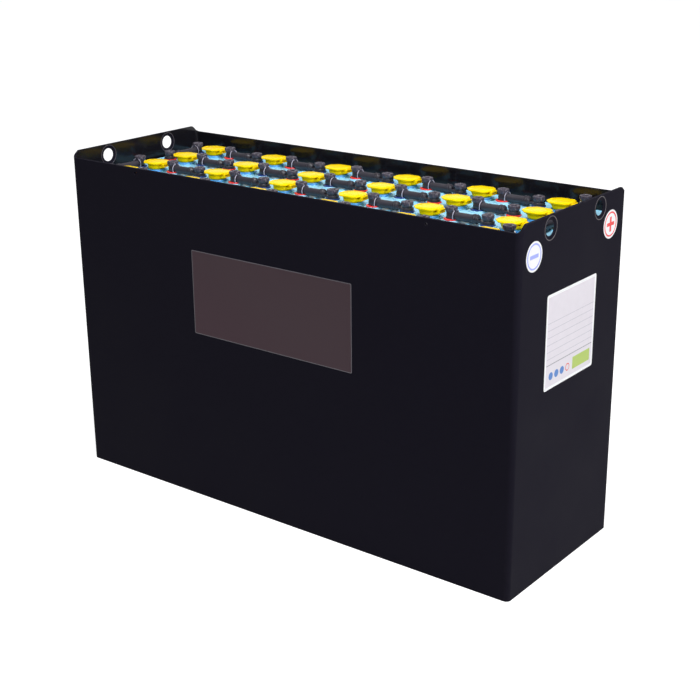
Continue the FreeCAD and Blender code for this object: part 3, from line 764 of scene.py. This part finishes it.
class BATTERY_OT_plugs(bpy.types.Operator):
    """Mould the 24 vent plugs with filling hole, catch and hinge ears"""

    bl_idname = "battery.make_plugs"
    bl_label = "Vent plugs"

    def execute(self, context):
        s = context.scene.battery_vent
        bm = bmesh.new()
        base, top = context.scene.battery_cell.neck_top - 0.0002, LID_LOW.z - 0.0003
        foot, wide, bore = s.foot_radius, s.top_radius, s.bore
        lathe(bm, [
            (bore, base + 0.0006), (bore + 0.0008, base), (foot - 0.0010, base),
            (foot + 0.0006, base + 0.0003), (foot + 0.0019, base + 0.0010), (foot + 0.0029, base + 0.0021),
            (wide - 0.0003, base + 0.0036), (wide, base + 0.0050), (wide, top - 0.0008),
            (wide - 0.0003, top - 0.0002), (wide - 0.0010, top), (bore + 0.0030, top),
            (bore + 0.0024, top - 0.0006), (bore + 0.0006, top - 0.0006), (bore, top - 0.0012),
        ], 72, ring=True)
        # Bayonet ribs inside the filling hole
        for i in range(3):
            place = Matrix.Rotation(math.tau * i / 3, 4, "Z")
            block(bm, (bore - 0.0006, -0.0012, base + 0.0015), (bore + 0.0010, 0.0012, top - 0.0030),
                  0.0003, matrix=place)
        # Catch under the thumb tab
        catch = soften([Vector((-wide - 0.0042, -0.0050, 0)), Vector((-wide + 0.0040, -0.0075, 0)),
                        Vector((-wide + 0.0040, 0.0075, 0)), Vector((-wide - 0.0042, 0.0050, 0))], 0.0012)
        loft(bm, [[Vector((-wide + 0.0030, p.y * 0.8, top - 0.0072)) for p in catch],
                  [Vector((max(p.x, -wide - 0.0010), p.y * 0.9, top - 0.0045)) for p in catch],
                  [Vector((p.x, p.y, top - 0.0018)) for p in catch],
                  [Vector((p.x, p.y, top - 0.0008)) for p in catch],
                  [Vector((p.x * 0.985, p.y * 0.92, top - 0.0003)) for p in catch]])
        # Hinge arm and its two ears
        slot = s.barrel_half + 0.0003
        ear_top = top + 0.0003 + s.barrel * 2
        arm = [Vector((foot - 0.0005, 0, top - 0.0062)), Vector((s.hinge_offset + 0.0028, 0, top - 0.0030)),
               Vector((s.hinge_offset + 0.0028, 0, top - 0.0004)), Vector((foot - 0.0005, 0, top - 0.0004))]
        half = slot + 0.0028
        loft(bm, [[Vector((p.x, y, p.z)) for p in arm] for y in (-half, half)])
        for side in (-1, 1):
            ear = []
            for step in range(13):
                angle = math.pi * step / 12
                ear.append(Vector((s.hinge_offset + 0.0029 * math.cos(angle), 0,
                                   ear_top - 0.0029 + 0.0029 * math.sin(angle))))
            ear.append(Vector((s.hinge_offset - 0.0029, 0, top - 0.0010)))
            ear.append(Vector((s.hinge_offset + 0.0029, 0, top - 0.0010)))
            low, high = side * slot, side * (slot + 0.0029)
            loops = []
            for y, shrink in ((low, 1.0), (high - side * 0.0004, 1.0), (high, 0.88)):
                centre = Vector((s.hinge_offset, 0, (top + ear_top) / 2))
                loops.append([centre + (p - centre) * shrink + Vector((0, y, 0)) for p in ear])
            loft(bm, loops)
        mesh = to_mesh("vent_plug", bm, [finish("moulded_yellow")])
        for (row, column), place in CELL_PLACES.items():
            add_piece(f"vent_plug_r{row}_c{column}", mesh, nodes=("vent_plugs",),
                      place=(place.x, place.y, 0.0))
        return {"FINISHED"}


class BATTERY_OT_lids(bpy.types.Operator):
    """Mould the 24 flip lids with thumb tab, seal skirt and hinge barrel"""

    bl_idname = "battery.make_lids"
    bl_label = "Vent lids"

    def execute(self, context):
        s = context.scene.battery_vent
        base, top = LID_LOW.z, LID_HIGH.z
        side = [(-0.0310, 0.0110), (-0.0160, 0.0270), (0.0160, 0.0270), (0.0262, 0.0170),
                (0.0262, s.barrel_half), (s.hinge_offset, s.barrel_half)]
        corners = [Vector((x, y, 0)) for x, y in reversed(side)]
        corners += [Vector((x, -y, 0)) for x, y in side]
        outline = soften(corners, 0.0020)
        bm = bmesh.new()
        under = top - s.plate_height
        face = top - 0.0006
        loft(bm, [
            inset(outline, 0.0014, under), inset(outline, 0.0005, under + 0.0002),
            inset(outline, 0.0001, under + 0.0008), inset(outline, 0.0001, face - 0.0008),
            inset(outline, 0.0005, face - 0.0003), inset(outline, 0.0011, face),
        ])
        # Slightly raised round crown
        lathe(bm, [(0.0206, face - 0.0002), (0.0196, face + 0.0002), (0.0186, top - 0.0003),
                   (0.0160, top - 0.0003)], 72)
        # Round waist between plate and plug, the raised ring on top and the seal skirt below
        waist = s.top_radius
        lathe(bm, [(waist - 0.0010, base), (waist - 0.0002, base + 0.0004), (waist, base + 0.0010),
                   (waist, under - 0.0006), (waist + 0.0006, under + 0.0004)], 72)
        lathe(bm, [(0.0150, top - 0.0006), (0.0149, top - 0.0001), (0.0145, top),
                   (0.0125, top), (0.0121, top - 0.0001), (0.0120, top - 0.0006)], 48, ring=True)
        lathe(bm, [(0.0119, base + 0.0004), (0.0119, base - 0.0018), (0.0114, base - 0.0022),
                   (0.0102, base - 0.0022), (0.0098, base - 0.0018), (0.0098, base + 0.0004)],
              48, ring=True)
        # Grip ridges on the thumb tab
        for i in range(3):
            x = -0.0285 + i * 0.0022
            block(bm, (x - 0.0005, -0.0070, top - 0.0022), (x + 0.0005, 0.0070, top - 0.0002), 0.0002)
        axis = Matrix.Translation((s.hinge_offset, 0, base + s.barrel)) @ Matrix.Rotation(
            math.radians(90), 4, "X")
        half = s.barrel_half
        block(bm, (s.top_radius - 0.0020, -half, base + 0.0006),
              (s.hinge_offset, half, top - 0.0012), 0.0006)
        lathe(bm, [(s.barrel - 0.0003, -half), (s.barrel, -half + 0.0003), (s.barrel, half - 0.0003),
                   (s.barrel - 0.0003, half)], 32, matrix=axis)
        mesh = to_mesh("vent_lid", bm, [finish("moulded_yellow")])
        for (row, column), place in CELL_PLACES.items():
            mark = f"r{row}_c{column}"
            add_piece(f"vent_lid_{mark}_look", mesh, body=f"lid_{mark}", nodes=(f"vent_lid_{mark}",),
                      place=(place.x, place.y, 0.0))
        return {"FINISHED"}


class BATTERY_OT_connectors(bpy.types.Operator):
    """Run the 23 insulated connectors from pole to pole, along the rows and across their ends"""

    bl_idname = "battery.make_connectors"
    bl_label = "Connectors"

    def connector(self, name, span):
        s = bpy.context.scene.battery_connector
        level, cable = s.cable_level, s.cable_radius
        bm = bmesh.new()
        # Round housing of the mouth end
        radius, low, top = s.boot_radius, s.ring_top, s.boot_top
        lathe(bm, [
            (radius - 0.0002, low), (radius + 0.0010, low + 0.0004), (radius + 0.0010, low + 0.0018),
            (radius, low + 0.0024), (radius, top - 0.0048), (radius - 0.0006, top - 0.0042),
            (radius - 0.0006, top - 0.0032), (radius, top - 0.0026), (radius, top - 0.0008),
            (radius - 0.0008, top),
        ], 44)
        # Wide hollow hood round the cable, with a thin pale lip
        mouth, wide = 0.0118, 0.0134
        axis = along_x(0, 0, level)
        lathe(bm, [(0.0080, -0.0070), (wide - 0.0016, -0.0030), (wide - 0.0004, 0.0015),
                   (wide, mouth - 0.0010)], 44, matrix=axis)
        lathe(bm, [(wide, mouth - 0.0010), (wide + 0.0001, mouth - 0.0003), (wide - 0.0003, mouth),
                   (wide - 0.0017, mouth), (wide - 0.0021, mouth - 0.0004),
                   (wide - 0.0022, mouth - 0.0012)],
              44, ring=True, matrix=axis, material=2)
        lathe(bm, [(wide - 0.0021, mouth - 0.0011), (cable + 0.0006, mouth - 0.0060)], 44, matrix=axis)
        # Cable with a slight sag
        start, end = 0.0020, span - 0.0260
        loops = []
        for step in range(15):
            t = step / 14
            sag = 0.0007 * math.sin(math.pi * t)
            loops.append([Vector((start + (end - start) * t, p.y, level - sag + p.x))
                          for p in circle(cable, 0.0, 32)])
        loft(bm, loops, material=1)
        # Twelve-sided collar that tapers towards the lug
        near = span - 0.0345
        lathe(bm, [(cable, near), (0.0094, near + 0.0002), (0.0102, near + 0.0010), (0.0102, near + 0.0052),
                   (0.0096, near + 0.0058), (0.0096, near + 0.0070), (0.0102, near + 0.0076),
                   (0.0102, near + 0.0100), (0.0068, near + 0.0150), (0.0056, near + 0.0158)],
              12, matrix=axis, phase=math.radians(15))
        # Flat neck, and the round lug with its collar on the second pole
        lug, foot = s.lug_top, s.ring_top + 0.0001
        block(bm, (near + 0.0120, -0.0080, foot), (span, 0.0080, lug), 0.0012)
        lathe(bm, [(s.lug_radius - 0.0006, foot), (s.lug_radius, foot + 0.0006),
                   (s.lug_radius, lug - 0.0010), (s.lug_radius - 0.0004, lug - 0.0003),
                   (s.lug_radius - 0.0012, lug), (0.0112, lug), (0.0108, lug + 0.0005),
                   (0.0108, s.low_head - 0.0001)], 48, matrix=Matrix.Translation((span, 0, 0)))
        # Where it passes over the pole rings it is flat underneath
        clear = s.ring_radius + 0.0006
        for vert in bm.verts:
            if (abs(vert.co.x) < clear or vert.co.x > span - clear) and vert.co.z < foot:
                vert.co.z = foot
        return to_mesh(name, bm, [finish("moulded_rubber"), finish("cable_sheath"), finish("shroud_lip")])

    def execute(self, context):
        offset = context.scene.battery_cell.pole_offset
        along = self.connector("row_connector", PITCH_X - offset * 2)
        across = self.connector("cross_connector", PITCH_Y)
        for row in range(1, ROWS + 1):
            for column in range(1, COLUMNS):
                place = CELL_PLACES[row, column]
                add_piece(f"connector_r{row}_c{column}", along, nodes=("cell_connectors",),
                          place=(place.x + offset, place.y, 0.0))
        for row in range(ROWS, 1, -1):
            at_left = (ROWS - row) % 2 == 0
            place = CELL_PLACES[row, 1 if at_left else COLUMNS]
            x = place.x - offset if at_left else place.x + offset
            add_piece(f"connector_r{row}_r{row - 1}", across, nodes=("cell_connectors",),
                      place=(x, place.y, 0.0), angle=math.radians(-90))
        return {"FINISHED"}


def head_foot(row, column, side):
    """Level of a bolt head's foot: on a housing, on a lug or on a take-off."""
    s = bpy.context.scene.battery_connector
    if column == COLUMNS and side > 0 and row in (1, ROWS):
        return s.takeoff_top + 0.0036
    if column == 1 and side < 0:
        on_housing = (ROWS - row) % 2 == 0 and row > 1
    elif column == COLUMNS and side > 0:
        on_housing = (ROWS - row) % 2 == 1
    else:
        on_housing = side > 0
    return s.boot_top if on_housing else s.low_head


class BATTERY_OT_bolts(bpy.types.Operator):
    """Turn the 48 insulated bolt heads with notched edge and socket"""

    bl_idname = "battery.make_bolts"
    bl_label = "Pole bolts"

    def execute(self, context):
        s = context.scene.battery_connector
        offset = context.scene.battery_cell.pole_offset
        radius, top = s.head_radius, s.head_height
        count, per_notch, notch_width = 96, 12, 4

        def notched(outer, height, depth):
            points = []
            for i in range(count):
                angle = math.tau * i / count
                dip = depth if i % per_notch < notch_width else 0.0
                points.append(Vector(((outer - dip) * math.cos(angle), (outer - dip) * math.sin(angle),
                                      height)))
            return points

        def socket(across, height):
            """Outline of a hexagon socket with as many points as the notched rim."""
            points = []
            for i in range(count):
                angle = math.tau * i / count
                local = (angle % (math.tau / 6)) - math.tau / 12
                reach = across / math.cos(local)
                points.append(Vector((reach * math.cos(angle), reach * math.sin(angle), height)))
            return points

        bm = bmesh.new()
        loft(bm, [
            notched(radius - 0.0014, 0.0, 0.0), notched(radius - 0.0010, 0.0024, 0.0),
            notched(radius - 0.0002, 0.0032, 0.0010), notched(radius, 0.0040, 0.0017),
            notched(radius, top - 0.0018, 0.0017), notched(radius - 0.0004, top - 0.0008, 0.0016),
            notched(radius - 0.0014, top - 0.0001, 0.0012), notched(radius - 0.0032, top, 0.0003),
            notched(radius - 0.0040, top - 0.0008, 0.0), socket(0.0060, top - 0.0008),
            socket(0.0055, top - 0.0011), socket(0.0053, top - 0.0016), socket(0.0052, top - 0.0062),
        ])
        mesh = to_mesh("pole_bolt", bm, [finish("bolt_polyamide")])
        for (row, column), place in CELL_PLACES.items():
            for name, side in (("left", -1), ("right", 1)):
                turned = 0.37 * (row * 7 + column * 3 + side)
                add_piece(f"pole_bolt_r{row}_c{column}_{name}", mesh, nodes=("pole_bolts",),
                          angle=turned,
                          place=(place.x + offset * side, place.y, head_foot(row, column, side)))
        return {"FINISHED"}


class BATTERY_OT_rings(bpy.types.Operator):
    """Lay the red and blue rings round the plus and minus poles"""

    bl_idname = "battery.make_rings"
    bl_label = "Pole rings"

    def execute(self, context):
        offset = context.scene.battery_cell.pole_offset
        s = context.scene.battery_connector
        radius, top = s.ring_radius, s.ring_top
        low = context.scene.battery_cell.cover_top + context.scene.battery_cell.boss_height
        profile = [(0.0090, low), (radius - 0.0004, low), (radius, low + 0.0004),
                   (radius, top - 0.0009), (radius - 0.0004, top - 0.0003), (radius - 0.0011, top),
                   (0.0090, top)]
        for sign, node, material, slot in (
                (1, "positive_pole_rings", finish("plus_ring_plastic"), "ring_red"),
                (-1, "negative_pole_rings", finish("minus_ring_plastic"), "ring_blue")):
            bm = bmesh.new()
            lathe(bm, profile, 56, ring=True)
            mesh = to_mesh(node, bm, [material])
            for (row, column), place in CELL_PLACES.items():
                right = 1 if (ROWS - row) % 2 == 0 else -1
                x = place.x + offset * right * sign
                add_piece(f"{node[:8]}_ring_r{row}_c{column}", mesh, nodes=(node,),
                          place=(x, place.y, 0.0))
        return {"FINISHED"}


class BATTERY_OT_takeoffs(bpy.types.Operator):
    """Cast the two bare take-off poles with nut, washers and insulated sleeve"""

    bl_idname = "battery.make_takeoffs"
    bl_label = "Take-off poles"

    def execute(self, context):
        s = context.scene.battery_connector
        low, top = s.ring_top, s.takeoff_top
        bm = bmesh.new()
        lathe(bm, [(0.0134, low), (0.0140, low + 0.0008), (0.0140, low + 0.0050), (0.0132, low + 0.0060),
                   (0.0090, low + 0.0066), (0.0080, low + 0.0076), (0.0080, top - 0.0030)], 48)
        lathe(bm, [(0.0092, top - 0.0098), (0.0102, top - 0.0090), (0.0102, top - 0.0042),
                   (0.0092, top - 0.0034)], 6, material=1, phase=math.radians(12))
        lathe(bm, [(0.0040, top - 0.0034), (0.0121, top - 0.0034), (0.0125, top - 0.0030),
                   (0.0125, top - 0.0016), (0.0121, top - 0.0012), (0.0112, top - 0.0012),
                   (0.0112, top - 0.0002), (0.0040, top - 0.0002)], 48, ring=True, material=1)
        lathe(bm, [(0.0098, top - 0.0003), (0.0098, top + 0.0038)], 32, material=2)
        mesh = to_mesh("takeoff_pole", bm, [
            finish("lead_pole"), finish("plated_washer"), finish("moulded_rubber")], 28.0)
        offset = context.scene.battery_cell.pole_offset
        for name, row in (("takeoff_minus", 1), ("takeoff_plus", ROWS)):
            place = CELL_PLACES[row, COLUMNS]
            add_piece(name, mesh, nodes=("takeoff_terminals",),
                      place=(place.x + offset, place.y, 0.0))
        return {"FINISHED"}


class BATTERY_OT_plate(bpy.types.Operator):
    """Fix the bare plate to the front wall"""

    bl_idname = "battery.make_plate"
    bl_label = "Front plate"

    def execute(self, context):
        s = context.scene.battery_foil
        tray = context.scene.battery_tray
        low, high = Vector(s.plate_low), Vector(s.plate_high)
        half = (high - low) / 2
        centre = (high + low) / 2
        back = HALF_WIDTH - tray.face_inset - 0.0001
        place = Matrix.Translation((centre.x, 0, centre.y)) @ Matrix.Rotation(math.radians(90), 4, "X")
        front = HALF_WIDTH
        bm = bmesh.new()
        loft(bm, [
            rounded_rectangle(half.x, half.y, 0.0030, back),
            rounded_rectangle(half.x, half.y, 0.0030, front - 0.0001),
            rounded_rectangle(half.x - 0.0003, half.y - 0.0003, 0.0028, front),
            rounded_rectangle(half.x - 0.0016, half.y - 0.0016, 0.0020, front),
        ], material=1, matrix=place, cap_last=False)
        loft(bm, [
            rounded_rectangle(half.x - 0.0016, half.y - 0.0016, 0.0020, front - 0.00002),
            rounded_rectangle(half.x - 0.0018, half.y - 0.0018, 0.0020, front - 0.00008),
        ], matrix=place, cap_first=False)
        mesh = to_mesh("front_plate", bm, [finish("bare_plate"), finish("plate_edge")], 20.0)
        add_piece("front_plate", mesh)
        return {"FINISHED"}


def foil_levels(depth, step):
    """Both faces of a foil on the right end wall; it reaches a little into what it lies on."""
    overlap = 0.00005
    wall = HALF_LENGTH - bpy.context.scene.battery_tray.face_inset
    return wall + depth - overlap, wall + depth + step


def foil_shape(bm, outline, depth, step, material):
    """A thin flat shape on the right end wall; outline in (across, up) from the foil's middle."""
    low, high = foil_levels(depth, step)
    loops = [[Vector((x, p.x, p.y)) for p in outline] for x in (low, high)]
    return loft(bm, loops, material)


def ring_shape(bm, outer, inner, depth, step, material, count=64):
    """A flat ring on the right end wall."""
    low, high = foil_levels(depth, step)
    loops = [[Vector((x, p.x, p.y)) for p in circle(r, 0.0, count)]
             for r, x in ((outer, low), (outer, high), (inner, high), (inner, low))]
    return loft(bm, loops, material, ring=True)


def shifted(points, x, y):
    return [Vector((p.x + x, p.y + y, 0)) for p in points]


class BATTERY_OT_label(bpy.types.Operator):
    """Stick the ruled label on the right end wall"""

    bl_idname = "battery.make_label"
    bl_label = "End label"

    def execute(self, context):
        s = context.scene.battery_foil
        half = s.label_side / 2
        bm = bmesh.new()
        foil, field, mark = 0.00012, 0.00006, 0.00008
        border, line_count, line_pitch, first_line = 0.006, 6, 0.0150, 0.060
        dot_radius, dot_pitch, dot_left, dot_level = 0.0082, 0.0225, 0.026, 0.027
        foil_shape(bm, rounded_rectangle(half, half, 0.005), 0.0, foil, 0)
        foil_shape(bm, rounded_rectangle(half - border, half - border, 0.002), foil, field, 1)
        face = foil + field
        line_half = half - border - 0.001
        for i in range(line_count):
            y = half - first_line - i * line_pitch
            line = rounded_rectangle(line_half, 0.0004, 0.0002, 0.0, 1)
            foil_shape(bm, shifted(line, 0, y), face, mark, 2)
        rule = rounded_rectangle(line_half, 0.0009, 0.0003, 0.0, 1)
        foil_shape(bm, shifted(rule, 0, -0.048), face, mark, 3)
        for i, material in enumerate((4, 4, 4, 5)):
            x = -half + dot_left + i * dot_pitch
            foil_shape(bm, shifted(circle(dot_radius, 0.0, 32), x, -half + dot_level), face, mark, material)
        # The last dot is a ring: a pale disc lies on it
        foil_shape(bm, shifted(circle(0.0062, 0.0, 32), x, -half + dot_level), face + mark, mark, 1)
        foil_shape(bm, shifted(rounded_rectangle(0.036, 0.013, 0.001), half - 0.050, -half + 0.029),
                   face, mark, 6)
        mesh = to_mesh("end_label", bm, [
            finish("white_foil"), ink("label_field", (0.74, 0.70, 0.76)),
            ink("label_line", (0.42, 0.41, 0.48)),
            ink("label_rule", (0.30, 0.30, 0.34)), ink("label_blue", (0.06, 0.20, 0.55)),
            ink("label_red", (0.75, 0.04, 0.03)), ink("label_green", (0.42, 0.56, 0.10))], 20.0)
        add_piece("end_label", mesh, place=(0, -0.002, s.label_level))
        return {"FINISHED"}


class BATTERY_OT_stickers(bpy.types.Operator):
    """Stick the round plus and minus signs on the right end wall"""

    bl_idname = "battery.make_stickers"
    bl_label = "Polarity stickers"

    def execute(self, context):
        s = context.scene.battery_foil
        radius = s.sticker_radius
        for name, y, material in (
                ("sticker_minus", -0.160, ink("sign_blue", (0.36, 0.42, 0.90))),
                ("sticker_plus", 0.148, ink("sign_red", (0.85, 0.035, 0.04)))):
            bm = bmesh.new()
            foil, mark = 0.00015, 0.00010
            foil_shape(bm, circle(radius, 0.0, 72), 0.0, foil, 0)
            ring_shape(bm, radius * 0.87, radius * 0.76, foil, mark, 1)
            arm, half = radius * 0.52, radius * 0.125
            foil_shape(bm, rounded_rectangle(arm, half, 0.0005), foil, mark, 1)
            if name == "sticker_plus":
                foil_shape(bm, rounded_rectangle(half, arm, 0.0005), foil, mark * 1.2, 1)
            add_piece(name, to_mesh(name, bm, [finish("white_foil"), material], 20.0),
                      place=(0, y, s.sticker_level))
        return {"FINISHED"}


class BATTERY_OT_stage(bpy.types.Operator):
    """Set up floor, lights, surroundings and camera"""

    bl_idname = "battery.make_stage"
    bl_label = "Stage"

    def floor(self, context):
        s = context.scene.battery_stage
        reach = s.floor_reach
        mesh = bpy.data.meshes.new("floor")
        mesh.from_pydata([(-reach, -reach, 0), (reach, -reach, 0), (reach, reach, 0), (-reach, reach, 0)],
                         [], [(0, 1, 2, 3)])
        material = bpy.data.materials.new("pale_floor")
        material.use_nodes = True
        tree = material.node_tree
        tree.nodes.clear()
        paths = shader_node(tree, "ShaderNodeLightPath")
        seen = math_node(tree, "MAXIMUM", paths.outputs["Is Camera Ray"], paths.outputs["Is Glossy Ray"])
        seen = math_node(tree, "MAXIMUM", seen, paths.outputs["Is Transmission Ray"])
        plain = shader_node(tree, "ShaderNodeBsdfDiffuse", {"Color": (*s.floor, 1.0)})
        half = shader_node(tree, "ShaderNodeBsdfDiffuse", {"Color": (0.46, 0.46, 0.46, 1.0)})
        glow = shader_node(tree, "ShaderNodeEmission", {"Color": (1, 1, 1, 1), "Strength": 0.90})
        lifted = shader_node(tree, "ShaderNodeAddShader", {0: half.outputs[0], 1: glow.outputs[0]})
        mixed = shader_node(tree, "ShaderNodeMixShader", {
            0: seen, 1: plain.outputs[0], 2: lifted.outputs[0]})
        shader_node(tree, "ShaderNodeOutputMaterial", {"Surface": mixed.outputs[0]})
        mesh.materials.append(material)
        floor = bpy.data.objects.new("floor", mesh)
        floor.location.z = -0.0005
        context.scene.collection.objects.link(floor)

    def surroundings(self, context):
        world = bpy.data.worlds.new("studio")
        world.use_nodes = True
        tree = world.node_tree
        tree.nodes.clear()
        paths = shader_node(tree, "ShaderNodeLightPath")
        seen = math_node(
            tree, "MAXIMUM", paths.outputs["Is Camera Ray"], paths.outputs["Is Transmission Ray"])
        light = shader_node(tree, "ShaderNodeBackground", {
            "Color": (0.95, 0.97, 1.0, 1.0), "Strength": 0.25})
        white = shader_node(tree, "ShaderNodeBackground", {"Color": (1, 1, 1, 1), "Strength": 1.0})
        mixed = shader_node(tree, "ShaderNodeMixShader", {
            0: seen, 1: light.outputs[0], 2: white.outputs[0]})
        shader_node(tree, "ShaderNodeOutputWorld", {"Surface": mixed.outputs[0]})
        context.scene.world = world

    def lamp(self, context, name, place, aim, size, power, tint=(1, 1, 1)):
        light = bpy.data.lights.new(name, "AREA")
        light.shape = "RECTANGLE"
        light.size, light.size_y = size
        light.energy = power
        light.color = tint
        lamp = bpy.data.objects.new(name, light)
        lamp.location = place
        direction = Vector(aim) - Vector(place)
        lamp.rotation_euler = direction.to_track_quat("-Z", "Y").to_euler()
        context.scene.collection.objects.link(lamp)

    def camera(self, context):
        s = context.scene.battery_stage
        back = Vector((math.sin(s.azimuth) * math.cos(s.elevation),
                       -math.cos(s.azimuth) * math.cos(s.elevation), math.sin(s.elevation)))
        right = (-back).cross(Vector((0, 0, 1))).normalized()
        up = right.cross(-back)
        x = right * math.cos(s.roll) + up * math.sin(s.roll)
        y = up * math.cos(s.roll) - right * math.sin(s.roll)
        data = bpy.data.cameras.new("camera")
        data.lens = s.lens
        data.sensor_width = 36.0
        data.clip_start, data.clip_end = 0.05, 200.0
        camera = bpy.data.objects.new("camera", data)
        turned = Matrix((x, y, back)).transposed().to_4x4()
        camera.matrix_world = Matrix.Translation(Vector(s.target) + back * s.distance) @ turned
        context.scene.collection.objects.link(camera)
        context.scene.camera = camera

    def execute(self, context):
        self.floor(context)
        self.surroundings(context)
        self.lamp(context, "key", (4.0, -0.6, 2.2), (0.3, 0, 0.45), (2.4, 2.2), 105.0)
        self.lamp(context, "front_fill", (1.2, -3.0, 3.0), (0.0, 0, 0.7), (2.4, 1.6), 20.0)
        self.lamp(context, "back_fill", (-2.6, 3.4, 2.2), (0.0, 0, 0.4), (2.4, 1.6), 16.0)
        self.lamp(context, "top", (0.6, -0.5, 3.2), (0.0, 0, 0.6), (1.5, 0.9), 64.0)
        self.camera(context)
        context.scene.view_settings.view_transform = "Standard"
        return {"FINISHED"}


class BATTERY_PT_panel(bpy.types.Panel):
    """Lists the battery's pieces and their settings"""

    bl_label = "Traction battery"
    bl_idname = "BATTERY_PT_panel"
    bl_space_type = "VIEW_3D"
    bl_region_type = "UI"
    bl_category = "Battery"

    def draw(self, context):
        column = self.layout.column()
        for operator in OPERATORS:
            column.operator(operator.bl_idname)
        for name in SETTINGS:
            group = getattr(context.scene, name)
            box = column.box()
            for key in group.bl_rna.properties.keys():
                if key not in ("rna_type", "name"):
                    box.prop(group, key)


SETTINGS = {
    "battery_tray": TraySettings,
    "battery_cell": CellSettings,
    "battery_vent": VentSettings,
    "battery_connector": ConnectorSettings,
    "battery_foil": FoilSettings,
    "battery_stage": StageSettings,
}
OPERATORS = (
    BATTERY_OT_tray, BATTERY_OT_cells, BATTERY_OT_plugs, BATTERY_OT_lids, BATTERY_OT_connectors,
    BATTERY_OT_bolts, BATTERY_OT_rings, BATTERY_OT_takeoffs, BATTERY_OT_plate, BATTERY_OT_label,
    BATTERY_OT_stickers, BATTERY_OT_stage,
)


def register():
    for name, group in SETTINGS.items():
        bpy.utils.register_class(group)
        setattr(bpy.types.Scene, name, PointerProperty(type=group))
    for kind in (*OPERATORS, BATTERY_PT_panel):
        bpy.utils.register_class(kind)


def unregister():
    for kind in (BATTERY_PT_panel, *reversed(OPERATORS)):
        bpy.utils.unregister_class(kind)
    for name, group in reversed(SETTINGS.items()):
        delattr(bpy.types.Scene, name)
        bpy.utils.unregister_class(group)


def main():
    register()
    bpy.ops.battery.make_tray()
    bpy.ops.battery.make_cells()
    bpy.ops.battery.make_plugs()
    bpy.ops.battery.make_lids()
    bpy.ops.battery.make_connectors()
    bpy.ops.battery.make_bolts()
    bpy.ops.battery.make_rings()
    bpy.ops.battery.make_takeoffs()
    bpy.ops.battery.make_plate()
    bpy.ops.battery.make_label()
    bpy.ops.battery.make_stickers()
    bpy.ops.battery.make_stage()


if __name__ == "__main__":
    main()
